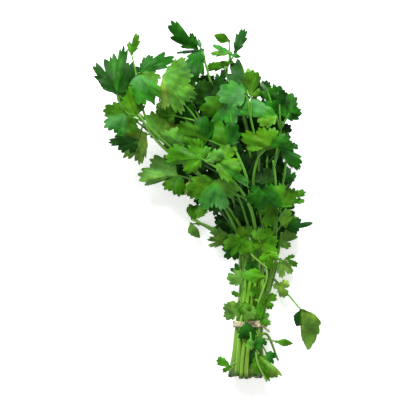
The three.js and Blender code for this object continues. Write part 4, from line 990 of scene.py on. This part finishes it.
def add_leaf(shell, item, leaf, colours, dice):
    """Adds a leaf: its upper and lower skins, half the thickness to each side of the middle surface
    along its normal and thinner towards the edge, and the narrow rim between them."""
    pole, surface, values, belongs = leaf_surface(item, leaf, dice)
    rings, sides = surface.shape[:2]
    grid = np.concatenate([np.broadcast_to(pole, (1, sides, 3)), surface])
    around = (np.roll(surface, -1, axis=1) - np.roll(surface, 1, axis=1)) / 2
    normal = np.cross(np.gradient(grid, axis=0)[1:], around)
    normal /= np.linalg.norm(normal, axis=2)[..., None] + 1e-9
    thickness = leaf.thickness * 500  # half of it, in millimetres
    half = thickness * mix(1, EDGE_THIN, values[..., 2:] ** 4)
    ring = np.arange(sides)
    faces = [ring_faces(rings, sides)[:, ::-1], fan_faces(rings * sides, ring)]
    vein = np.vstack([values.reshape(-1, 3), [0, leaf.rib_width, 0]])
    tints = leaf_tints(item, values, belongs, colours, dice)
    edge = []
    for way, finish, tint in ((1, UPPER, tints[0]), (-1, UNDER, tints[1])):
        skin = surface + way * normal * half
        shell.add(np.vstack([skin.reshape(-1, 3), pole + (0, 0, way * thickness)]),
                  [rows[:, ::way] for rows in faces], finish, tint, vein)
        edge.append(skin[-1])
    after = np.roll(ring, -1)
    rim = np.stack([ring, ring + sides, after + sides, after], axis=1)
    shell.add(np.vstack(edge), [rim], UPPER, tints[0][-1 - sides:-1].repeat(2, axis=0))


def leaf_tints(item, values, belongs, colours, dice):
    """The colours and the painted sheen of a leaf's two skins: its tone, or that of each lobe, where some
    tones are painted light or shade, a little warmer or cooler and lighter or darker from leaf to leaf, and
    paler towards the hub."""
    names = item["tones"].split() if "tones" in item else [item["tone"]] * len(item["lobes"])
    names = [names[lobe["number"]] for lobe in item["lobes"]]
    warm, light = dice.off(1), dice.off(1)
    shift = np.array([1 + WARM[0] * warm, 1, 1 + WARM[1] * warm]) * (1 + LIGHT * light)
    share = np.append(values[..., 2].ravel(), 0)[:, None]
    young = YOUNG["share"] * (1 - ease(share, 0, YOUNG["until"]))
    lobe, beside, blend = belongs
    skins = []
    for side in colours:
        shades = np.array([side[name] for name in names])
        shade = mix(shades[lobe], shades[beside], blend[:, None])
        shade = np.vstack([np.tile(shade, (len(values), 1)), shades.mean(0)])
        skins.append(np.hstack([shade[:, :3] * shift, shade[:, 3:]]))
    upper = skins[0][:, :3]
    skins[0][:, :3] = mix(upper, upper * YOUNG["by"] + YOUNG["and"], young)
    return skins


# ---------------- materials


class Skin:
    """A node material as it is put together. Its helpers give the socket with their result."""

    def __init__(self, name):
        self.material = bpy.data.materials.new(name)
        self.material.use_nodes = True
        self.material.node_tree.nodes.clear()

    def add(self, kind, inputs=None, **settings):
        """Adds a node with its settings, and its inputs set or linked."""
        node = self.material.node_tree.nodes.new("ShaderNode" + kind)
        for key, value in settings.items():
            setattr(node, key, value)
        for key, value in (inputs or {}).items():
            if isinstance(value, bpy.types.NodeSocket):
                self.material.node_tree.links.new(value, node.inputs[key])
            else:
                node.inputs[key].default_value = value
        return node

    def stored(self, name):
        """The node of a value that is stored in the mesh."""
        return self.add("Attribute", attribute_name=name)

    def reckon(self, operation, *values, kind="Math"):
        """Plain reckoning with numbers."""
        return self.add(kind, dict(enumerate(values)), operation=operation).outputs[0]

    def vectors(self, operation, *values):
        """The same with vectors and colours."""
        return self.reckon(operation, *values, kind="VectorMath")

    def scaled(self, colour, by):
        """A colour made darker or lighter by a factor."""
        return self.add("VectorMath", {0: colour, "Scale": by}, operation="SCALE").outputs[0]

    def ranged(self, value, low, high, to_low=0.0, to_high=1.0, **settings):
        """A value carried from one range to another, and held at its ends."""
        inputs = {"Value": value, "From Min": low, "From Max": high, "To Min": to_low, "To Max": to_high}
        return self.add("MapRange", inputs, **settings).outputs["Result"]

    def noise(self, place, size, detail=1.0):
        """Cloudy noise whose patches are about a size in millimetres."""
        inputs = {"Vector": place, "Scale": 1000 / size, "Detail": detail}
        return self.add("TexNoise", inputs).outputs["Fac"]

    def blended(self, share, a, b):
        """From the colour a to the colour b, by a share."""
        return self.add("Mix", {"Factor": share, "A": a, "B": b}, data_type="RGBA").outputs["Result"]

    def finish(self, colour, roughness, bump=None, **inputs):
        """The surface itself: a colour, a roughness, bumps as (height, strength, distance), and more."""
        inputs = {"Base Color": colour, "Roughness": roughness, **inputs}
        if bump:
            bump = dict(zip(("Height", "Strength", "Distance"), bump))
            inputs["Normal"] = self.add("Bump", bump).outputs["Normal"]
        inputs = {key.replace("_", " "): value for key, value in inputs.items()}
        shader = self.add("BsdfPrincipled", inputs)
        self.add("OutputMaterial", {"Surface": shader.outputs["BSDF"]})
        return self.material


def leaf_skin(name, roughness, vein_strength, relief):
    """Leaf blade, grown: a waxy skin over soft green tissue. Veins show as paler lines in relief, the blade
    between them is mottled by a net of finer veins 2.6 mm apart and by lighter and darker patches about 8
    mm wide, which are partly its uneven green and partly painted light and shade of small folds, and its
    wax gives a broad soft gloss. A painted bluish sheen lies on it in places. The vein lines are drawn
    twice as wide as real ones, to show. The finest relief is a grain of about 0.9 mm."""
    skin = Skin(name)
    tint = skin.stored("tint")
    green, sheen = tint.outputs["Color"], tint.outputs["Alpha"]
    vein = skin.add("SeparateXYZ", {"Vector": skin.stored("vein").outputs["Vector"]})
    place = skin.add("TexCoord").outputs["Object"]
    wide = skin.reckon("MULTIPLY", vein.outputs["Y"], 2.2)
    line = skin.ranged(vein.outputs["X"], 0.0, wide, 1.0, 0.0, interpolation_type="SMOOTHSTEP")
    net = skin.add("TexVoronoi", {"Vector": place, "Scale": 1000 / 2.6, "Randomness": 0.9},
                   feature="DISTANCE_TO_EDGE")
    net_line = skin.ranged(net.outputs["Distance"], 0.0, 0.16, 1.0, 0.0)
    # Lighter and darker patches about 8 mm wide: partly the blade's uneven green, partly painted light and
    # shade of its small folds.
    mottle = skin.noise(place, 8, 3.0)
    shaded = skin.scaled(green, skin.ranged(mottle, 0.3, 0.7, 0.56, 1.36))
    # Patches about 15 mm wide have turned a little yellow.
    aged = skin.ranged(skin.noise(place, 15), 0.5, 0.7)
    base = skin.blended(aged, shaded, skin.vectors("MULTIPLY", shaded, (1.35, 1.03, 0.8)))
    # A painted bluish sheen, for the light that the waxy skin mirrors, lies in patches about 20 mm wide, as
    # much of it as the tint's sheen amount gives.
    painted_sheen = skin.reckon("MULTIPLY", skin.ranged(skin.noise(place, 20), 0.42, 0.66, to_high=0.4), sheen)
    base = skin.blended(painted_sheen, base, (*linear("#74AC74"), 1))
    # Veins are paler and yellower than the blade beside them.
    pale = skin.vectors("MULTIPLY_ADD", green, (2.6, 1.7, 2.2), (0.01, 0.016, 0.002))
    base = skin.blended(skin.reckon("MULTIPLY", net_line, 0.1), base, pale)
    base = skin.blended(skin.reckon("MULTIPLY", line, vein_strength), base, pale)
    height = skin.reckon("MULTIPLY", skin.noise(place, 0.9, 2.0), 0.3)
    height = skin.reckon("MULTIPLY_ADD", line, relief, height)
    height = skin.reckon("MULTIPLY_ADD", net_line, relief * 0.25, height)
    gloss = skin.ranged(mottle, 0.0, 1.0, roughness - 0.08, roughness + 0.1)
    return skin.finish(base, gloss, (height, 0.5, 0.0006), IOR=1.42, Specular_IOR_Level=0.1)


def streaked_skin(name, drawn, detail, shades, roughness, bump, **inputs):
    """A skin with streaks along its grain: so many round a stem or ply, and so many to a millimetre
    along it. Shades are the darkest and the palest streak's share of the tint."""
    skin = Skin(name)
    grain = skin.add("UVMap", uv_map="grain").outputs["UV"]
    drawn = skin.add("Mapping", {"Vector": grain, "Scale": (*drawn, 1)}).outputs["Vector"]
    streak = skin.noise(drawn, 1000, detail)
    base = skin.scaled(skin.stored("tint").outputs["Color"], skin.ranged(streak, 0.3, 0.7, *shades))
    return skin.finish(base, roughness, (streak, bump, 0.0004), **inputs)


def stem_skin():
    """Leaf stalk, grown: smooth, juicy and ribbed lengthwise. Pale and darker streaks about 0.5 mm wide and
    30 mm long run along it, partly its own streaking and partly painted light and shade of its ribs, and
    its wet-looking skin gives narrow highlights."""
    # The streaks' range of 0.55 to 1.42 is partly painted light and shade of the ribs.
    return streaked_skin("parsley stalk skin", (14, 0.03), 3.0, (0.55, 1.42), 0.38, 0.4, IOR=1.4)


def twine_fibre():
    """Jute twine, two plies twisted: matt, pale straw-coloured fibres with darker ones among them,
    about 0.15 mm wide and 5 mm long, which stand out a little as fuzz."""
    return streaked_skin("jute twine", (16, 0.2), 4.0, (0.62, 1.3), 0.9, 0.8, Sheen_Weight=0.25)


def floor_paint(colour):
    """A matt light table: no gloss, and lit a little from below, which softens the shadows on it."""
    return Skin("matt white floor").finish((*colour, 1), 0.9, Specular_IOR_Level=0.1,
                                           Emission_Strength=0.5, Emission_Color=(1, 1, 1, 1))


# ---------------- settings

UPPER, UNDER, STEM = 0, 1, 2  # which material a face has

# The tones of the leaves: name, use, colour, and how much painted sheen each has. Some are painted light:
# light is a lit copy of the green and blue a painted reflection of the light, while dim and deep are shaded
# copies, deep standing for the shade inside the bunch. Dark is partly the darker green of old leaves and
# partly painted shade. Mid, fresh, olive and pale are the leaves' own greens.
TONES = {
    "mid": ("Mid green", "Most of the leaves", "#326608", 0.05),
    "light": ("Light green", "Leaves that stand in the light", "#4A8624", 0.25),
    "dark": ("Dark green", "Leaves that are old or in shade", "#165008", 0.05),
    "dim": ("Bottle green", "Leaves turned away from the light", "#0E3A06", 0.05),
    "fresh": ("Fresh green", "Young leaves above the tie", "#3E8210", 0.05),
    "deep": ("Deep green", "Leaves inside the bunch", "#12360A", 0),
    "olive": ("Olive", "Leaves that show their paler back", "#52822C", 0.1),
    "blue": ("Bluish green", "Leaves that mirror the light", "#28701A", 0.8),
    "pale": ("Yellow green", "The youngest leaves", "#6A9636", 0.1),
    "grey": ("Greyish green", "Leaves seen nearly edge on", "#3E6644", 0),
}
UNDER_SHARE = 0.45  # how much of the underside's colour is mixed into a tone
# How far the stalks of a leaf take its tone on, and those of the other tones. The stalks of deep and dark
# leaves so take on much of their painted shade.
FOLLOWS = {"deep": 0.8, "dark": 0.5, "olive": 0.3, "pale": 0.8}
FOLLOWS_ELSE = 0.15

# How unlike stems are: thickness above the tie, brightness and greenness, as least and greatest.
STEM_VARY = {"thick": (0.72, 0.95), "bright": (0.62, 1.35), "green": (0.93, 1.05)}
RAGGED = (1, 1.8)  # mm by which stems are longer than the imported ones: the least, and the range
# How stems stray from their line: in full from so many millimetres off the tie on, and in swings of
# so many millimetres to a radian.
WANDER = {"from": 25, "across": 9, "up": 11}
SLENDER = (15, 55)  # mm above the tie between which a stem gets its own thickness
CUT_LENGTH = 4  # mm of a stem that are darkened at its cut end
TO_NECK, TO_CROWN = (-45, 45), (30, 120)  # mm above the tie between which it changes its colour
CURVE_STEPS, STALK_STEPS = 14, 15  # places on each span of a stem, and on a stalk
STALK_RIBS = (3, 0.1)  # how many, and how deep as a share of the stalk's radius
STALK_LOWEST = STALK_RADIUS["root"] * 1.2  # the least height of its middle above the table


def size(name, description, default, **options):
    """A setting that is a plain number."""
    return FloatProperty(name=name, description=description, default=default, **options)


def colour(name, description, code):
    """A colour setting, given as an sRGB hex value."""
    return FloatVectorProperty(name=name, description=description, subtype="COLOR", size=3, min=0, max=1,
                               default=tuple(linear(code)))


class LeafSettings(bpy.types.PropertyGroup):
    """Sizes and colours of the leaves."""

    thickness: size("Thickness", "Thickness of a blade", 0.0004, unit="LENGTH")
    bulge: size("Bulge", "Height of the blade between two veins, mm", 0.07)
    wave: size("Wave", "Height of the waves along the edge, mm", 0.6)
    soft: size("Fold radius", "How round the fold along a rib is, mm", 2.5)
    cup: size("Cup", "How far the sides of a lobe curl down", 0.45)
    swell: size("Swell", "Height of the broad swells of a blade, mm", 1.2)
    crumple: size("Crumple", "Height of the small swells of a blade, mm", 0.38)
    droop: size("Droop", "How far the tips of a large leaf hang, mm", 1.5)
    tooth_depth: size("Tooth depth", "Share of a lobe cut away between teeth", 0.015)
    notch_reach: size("Notch reach", "Share of a lobe at which notches start", 0.98)
    notch_vary: size("Notch variety", "How unlike the notches are", 1.0)
    vein_lean: size("Vein lean", "How long side veins keep to the rib", 1.6)
    rib_width: size("Rib width", "Half width of a lobe's rib, mm", 0.42)
    vein_width: size("Vein width", "Half width of a side vein, mm", 0.26)
    under: colour("Underside", "What the undersides are mixed with", "#62803C")


for tone, (title, use, code, _) in TONES.items():
    LeafSettings.__annotations__[tone] = colour(title, use, code)


class StemSettings(bpy.types.PropertyGroup):
    """Sizes and colours of the stems and stalks."""

    ribs: size("Ribs", "Ribs round a stem", 7)
    rib_depth: size("Rib depth", "Share of a stem's radius", 0.09)
    wander: size("Wander", "How far a stem strays from its line, mm", 0.5)
    foot: colour("Foot", "Stems near their cut ends", "#62862A")
    neck: colour("Neck", "Stems above the tie", "#70AC2A")
    crown: colour("Crown", "Stems and stalks among the leaves", "#569826")
    end: colour("Cut end", "The darkened last millimetres at the cut", "#2C4616")
    pith: colour("Pith", "The pale middle of the cut face", "#A4B070")


class TwineSettings(bpy.types.PropertyGroup):
    """Sizes and colours of the twine."""

    twist: size("Twist", "Length of one twist of the plies", 0.0052, unit="LENGTH")
    fibre: colour("Fibre", "Most of the twine", "#CCBF98")


class StageSettings(bpy.types.PropertyGroup):
    """The floor, the light and the camera."""

    view_width: size("View width", "Width of what the camera shows at the object", 400 * STEP / 1000,
                     unit="LENGTH")
    camera_height: size("Camera height", "Height of the camera above the floor", 2.5, unit="LENGTH")
    key: size("Key light", "Power of the large light beyond the leaves, W", 72)
    fill: size("Fill light", "Power of the light overhead, W", 6)
    world: size("Room light", "Strength of the light from all round", 0.36)
    floor: colour("Floor", "The floor's colour", "#F4F4F2")


# ---------------- pieces


def stem_colours(y, stem):
    """A stem's colour along its length: pale at the foot, bright above the tie, greener to the crown."""
    foot, neck, crown = (np.array(shade) for shade in (stem.foot, stem.neck, stem.crown))
    y = y[:, None]
    return mix(mix(foot, neck, ease(y, *TO_NECK)), crown, ease(y, *TO_CROWN))


def make_sprig(index, settings, materials):
    """One leafy stem with its stalks and leaves, as one piece in place of its CAD node."""
    shell = Shell()
    lay = lay_sprig(index)
    dice = Dice("surface", index)
    stem, leaf = settings.parsley_stem, settings.parsley_leaf
    own = {tone: np.array(getattr(leaf, tone)) for tone in TONES}
    under = np.array(leaf.under)
    colours = [{tone: np.append(shade, TONES[tone][3]) for tone, shade in own.items()},
               {tone: np.append(mix(shade, under, UNDER_SHARE), 0) for tone, shade in own.items()}]
    knots = lay["knots"]
    spans = len(knots) - 1
    path = curve(knots, np.linspace(0, spans, CURVE_STEPS * spans + 1))
    wander = stem.wander * ease(np.abs(path[:, 1]), 0, WANDER["from"])
    path[0, 1] -= RAGGED[0] + RAGGED[1] * dice()
    path[:, 0] += wander * np.sin(path[:, 1] / WANDER["across"] + dice() * STEM_PHASE)
    path[:, 2] += wander * np.sin(path[:, 1] / WANDER["up"] + dice() * STEM_PHASE)
    y = path[:, 1]
    slender = mix(1, mix(*STEM_VARY["thick"], dice()), ease(y, *SLENDER))
    shade = stem_colours(y, stem) * mix(*STEM_VARY["bright"], dice())
    shade = shade * (1, mix(*STEM_VARY["green"], dice()), 1)
    shade = mix(np.array(stem.end), shade, smooth((y - y[0]) / CUT_LENGTH)[:, None])
    radii = stem_radius(y) * slender
    path[:, 2] = np.maximum(path[:, 2], radii * (1 + stem.rib_depth) + TABLE_GAP)
    tube(shell, path, radii, SIDES["stem"], STEM, shade, int(stem.ribs), stem.rib_depth,
         dice() * STEM_PHASE, np.array(stem.pith))
    for item in lay["sprays"]:
        share, tone = np.linspace(0, 1, STALK_STEPS), item["tone"]
        path = curve(item["stalk"], 2 * share)
        path[:, 2] = np.maximum(path[:, 2], STALK_LOWEST)
        radii = mix(STALK_RADIUS["root"], STALK_RADIUS["hub"], share) * item.get("thick", 1)
        shade = mix(stem_colours(path[:, 1], stem), own[tone], FOLLOWS.get(tone, FOLLOWS_ELSE))
        tube(shell, path, radii, SIDES["stalk"], STEM, shade, *STALK_RIBS)
        if item["lobes"]:
            add_leaf(shell, item, leaf, colours, dice)
    piece = shell.mesh("leafy_stem_" + lay["name"], materials)
    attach(piece, "root")
    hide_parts("sprig_" + lay["name"])


PLY = {"off": 0.46, "thick": 0.6}  # a ply's way off the twine's middle and its radius, as shares
TURN_SLACK, KNOT_SLACK, TAIL_SLACK = 0.98, 0.9, 0.85  # how thick the twine is, as shares of its radius
TURN_SLANTS = (0.5, 0.25)  # mm, how far a turn strays along the stems, in one swing and in three
TURN_SHADES = (0.9, 0.1)  # the first turn's brightness, and how much more each next one has
KNOT_SIZE, KNOT_HEIGHT = 0.82, 1.1  # millimetres to one of the knot's formula, and the height in it
CORNER_STEPS = 9  # places round each corner of a turn
TWINE_STEPS = {"turn": 241, "knot": 121, "tail": 40}  # places along each


def tie_ring(out):
    """Even steps round the bundle of stems: the outline of its six-sided section, carried outwards
    by a distance, with round corners. Gives the places across and up, the way out at each, and the
    way round to it."""
    wide, narrow = ((ROWS[row] - 1) / 2 * STEM_PITCH for row in (2, 0))
    tall = 2 * ROW_PITCH
    corner = np.array([(wide, 0), (narrow, tall), (-narrow, tall), (-wide, 0), (-narrow, -tall),
                       (narrow, -tall)])
    side = np.roll(corner, -1, axis=0) - corner
    last = np.arctan2(-side[:, 0], side[:, 1])
    first = np.roll(last, 1)
    turn = (last - first + 2 * np.pi) % (2 * np.pi)
    angle = (first[:, None] + turn[:, None] * np.linspace(0, 1, CORNER_STEPS)).ravel()
    way = np.stack([np.cos(angle), np.sin(angle)], axis=1)
    outline = corner.repeat(CORNER_STEPS, axis=0) + way * out
    outline, way = (np.vstack([rows, rows[:1]]) for rows in (outline, way))
    run = run_along(outline)
    even = np.linspace(0, run[-1], TWINE_STEPS["turn"])
    (across, up), facing = (np.array([np.interp(even, run, part) for part in rows.T])
                            for rows in (outline, way))
    return across, up, unit(facing.T), even


def add_twine(shell, path, way, radius, twist, tint, phase=0.0):
    """Two plies wound round each other along a path: each ply's middle lies about half a radius off
    the path, at an angle that turns once in every twist. Way is a direction across the path."""
    tangent = unit(np.gradient(path, axis=0))
    across = unit(np.cross(tangent, way))
    up = np.cross(across, tangent)
    for ply in (0, np.pi):
        angle = (2 * np.pi * run_along(path) / twist + phase + ply)[:, None]
        middle = path + PLY["off"] * radius * (np.cos(angle) * across + np.sin(angle) * up)
        tube(shell, middle, np.full(len(path), PLY["thick"] * radius), SIDES["ply"], 0, tint)


def make_twine(settings, materials):
    """The tie: three turns of twine round the stems, a knot on top, and two cut tails."""
    shell = Shell()
    twine = settings.parsley_twine
    tint, twist = np.array(twine.fibre), twine.twist * 1000
    centre = STEM_RADIUS["tie"] + TWINE_GAP + TWINE_RADIUS
    across, up, facing, run = tie_ring(centre)
    share = run / run[-1]
    for number, y in enumerate(TWINE_TURNS):
        # Each turn wanders a little along the stems, and slants over the top.
        slant = TURN_SLANTS[0] * np.sin(2 * np.pi * share + number)
        slant += TURN_SLANTS[1] * np.sin(6 * np.pi * share + 2 * number)
        path = np.stack([across, y + slant, TIE_Z + up], axis=1)
        way = np.insert(facing, 1, 0, axis=1)
        shade = tint * (TURN_SHADES[0] + TURN_SHADES[1] * number)
        add_twine(shell, path, way, TWINE_RADIUS * TURN_SLACK, twist, shade, number)
    top = TIE_Z + 2 * ROW_PITCH + centre
    middle = np.array([KNOT["x"], KNOT["y"], top + KNOT["rise"]])
    # The knot is a trefoil: (sin t + 2 sin 2t, cos t - 2 cos 2t, -height · sin 3t).
    t = np.linspace(0, 2 * np.pi, TWINE_STEPS["knot"])
    trefoil = np.stack([np.sin(t) + 2 * np.sin(2 * t), np.cos(t) - 2 * np.cos(2 * t),
                        -KNOT_HEIGHT * np.sin(3 * t)], axis=1)
    path = middle + trefoil * KNOT_SIZE
    add_twine(shell, path, [0.2, 0.1, 1.0], TWINE_RADIUS * KNOT_SLACK, twist, tint)
    for number, (x, y) in enumerate(TAILS):
        bend = (mix(KNOT["x"], x, 0.5), mix(KNOT["y"], y, 0.4), top + 2 * KNOT["rise"])
        path = curve([middle, bend, (x, y, top + KNOT["rise"])], np.linspace(0, 2, TWINE_STEPS["tail"]))
        add_twine(shell, path, [0.0, 0.1, 1.0], TWINE_RADIUS * TAIL_SLACK, twist, tint, number)
    piece = shell.mesh("twine_tie", materials)
    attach(piece, "root")
    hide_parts("tie")


# ---------------- the stage

MIDDLE = PLAN_ORIGIN[0] / 1000 + np.array([-50 * STEP, 125 * STEP, 0]) / 1000  # of the view
OBJECT_LEVEL = 0.035  # the height at which the view width is measured
FLOOR_LEVEL = -0.0002  # just under the table's height, where the twine touches it
AIM = (0, 0, 0.03)
WINDOW = {"name": "window light", "place": (-0.25, 1.4, 1.15), "size": 0.9, "tint": (0.95, 0.98, 1.0)}
OVERHEAD = {"name": "overhead light", "place": (0.1, -0.3, 1.8), "size": 1.4, "tint": (1.0, 1.0, 1.0)}


def plane(name, half, z, material):
    """A flat square round the middle, which reaches half its side each way."""
    mesh = bpy.data.meshes.new(name)
    corners = [(x * half, y * half, z) for x, y in ((-1, -1), (1, -1), (1, 1), (-1, 1))]
    mesh.from_pydata(corners, [], [(0, 1, 2, 3)])
    mesh.materials.append(material)
    return place_in_scene(name, mesh)


def add_light(lamp, power):
    """A square soft light that looks at the bunch, with its top towards +Y."""
    data = bpy.data.lights.new(lamp["name"], "AREA")
    data.size, data.energy, data.color = lamp["size"], power, lamp["tint"]
    light = place_in_scene(lamp["name"], data)
    light.location = lamp["place"]
    light.rotation_euler = (Vector(AIM) - light.location).to_track_quat("-Z", "Y").to_euler()


def make_camera(stage):
    """A camera straight above the bunch, and level with it."""
    data = bpy.data.cameras.new("camera")
    data.lens = data.sensor_width * (stage.camera_height - OBJECT_LEVEL) / stage.view_width
    camera = place_in_scene("camera", data)
    camera.location = (MIDDLE[0], MIDDLE[1], stage.camera_height)
    bpy.context.scene.camera = camera


# ---------------- operators


class MakeSprigs(bpy.types.Operator):
    """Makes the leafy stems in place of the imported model's sprigs."""

    bl_idname = "parsley.make_sprigs"
    bl_label = "Make leafy stems"

    def execute(self, context):
        materials = [leaf_skin("parsley leaf upper skin", 0.42, 0.34, -0.12),
                     leaf_skin("parsley leaf under skin", 0.55, 0.6, 0.5), stem_skin()]
        for index in range(len(PLAN)):
            make_sprig(index, context.scene, materials)
        return {"FINISHED"}


class MakeTwine(bpy.types.Operator):
    """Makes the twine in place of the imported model's tie."""

    bl_idname = "parsley.make_twine"
    bl_label = "Make twine"

    def execute(self, context):
        make_twine(context.scene, [twine_fibre()])
        return {"FINISHED"}


class MakeStage(bpy.types.Operator):
    """Makes the floor, the lights and the camera."""

    bl_idname = "parsley.make_stage"
    bl_label = "Make stage"

    def execute(self, context):
        scene, stage = context.scene, context.scene.parsley_stage
        plane("floor", 4.0, FLOOR_LEVEL, floor_paint(stage.floor))
        make_camera(stage)
        add_light(WINDOW, stage.key)
        add_light(OVERHEAD, stage.fill)
        scene.world = bpy.data.worlds.new("room")
        scene.world.use_nodes = True
        sky = scene.world.node_tree.nodes["Background"].inputs
        sky["Color"].default_value = (1, 1, 1, 1)
        sky["Strength"].default_value = stage.world
        scene.view_settings.view_transform = "Standard"
        return {"FINISHED"}


class ParsleyPanel(bpy.types.Panel):
    """Lists the settings and the operators."""

    bl_idname = "VIEW3D_PT_parsley"
    bl_label = "Parsley bunch"
    bl_space_type = "VIEW_3D"
    bl_region_type = "UI"
    bl_category = "Parsley"

    def draw(self, context):
        for name in SETTINGS:
            group = getattr(context.scene, name)
            box = self.layout.box()
            for key in group.__annotations__:
                box.prop(group, key)
        for operator in OPERATORS:
            self.layout.operator(operator.bl_idname)


SETTINGS = {"parsley_leaf": LeafSettings, "parsley_stem": StemSettings, "parsley_twine": TwineSettings,
            "parsley_stage": StageSettings}
OPERATORS = [MakeStage, MakeSprigs, MakeTwine]
CLASSES = [*SETTINGS.values(), *OPERATORS, ParsleyPanel]


def register():
    for item in CLASSES:
        bpy.utils.register_class(item)
    for name, group in SETTINGS.items():
        setattr(bpy.types.Scene, name, PointerProperty(type=group))


def unregister():
    for name in SETTINGS:
        delattr(bpy.types.Scene, name)
    for item in reversed(CLASSES):
        bpy.utils.unregister_class(item)


def main():
    """Makes the bunch and its stage."""
    register()
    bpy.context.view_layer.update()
    bpy.ops.parsley.make_stage()
    bpy.ops.parsley.make_sprigs()
    bpy.ops.parsley.make_twine()


if __name__ == "__main__":
    main()
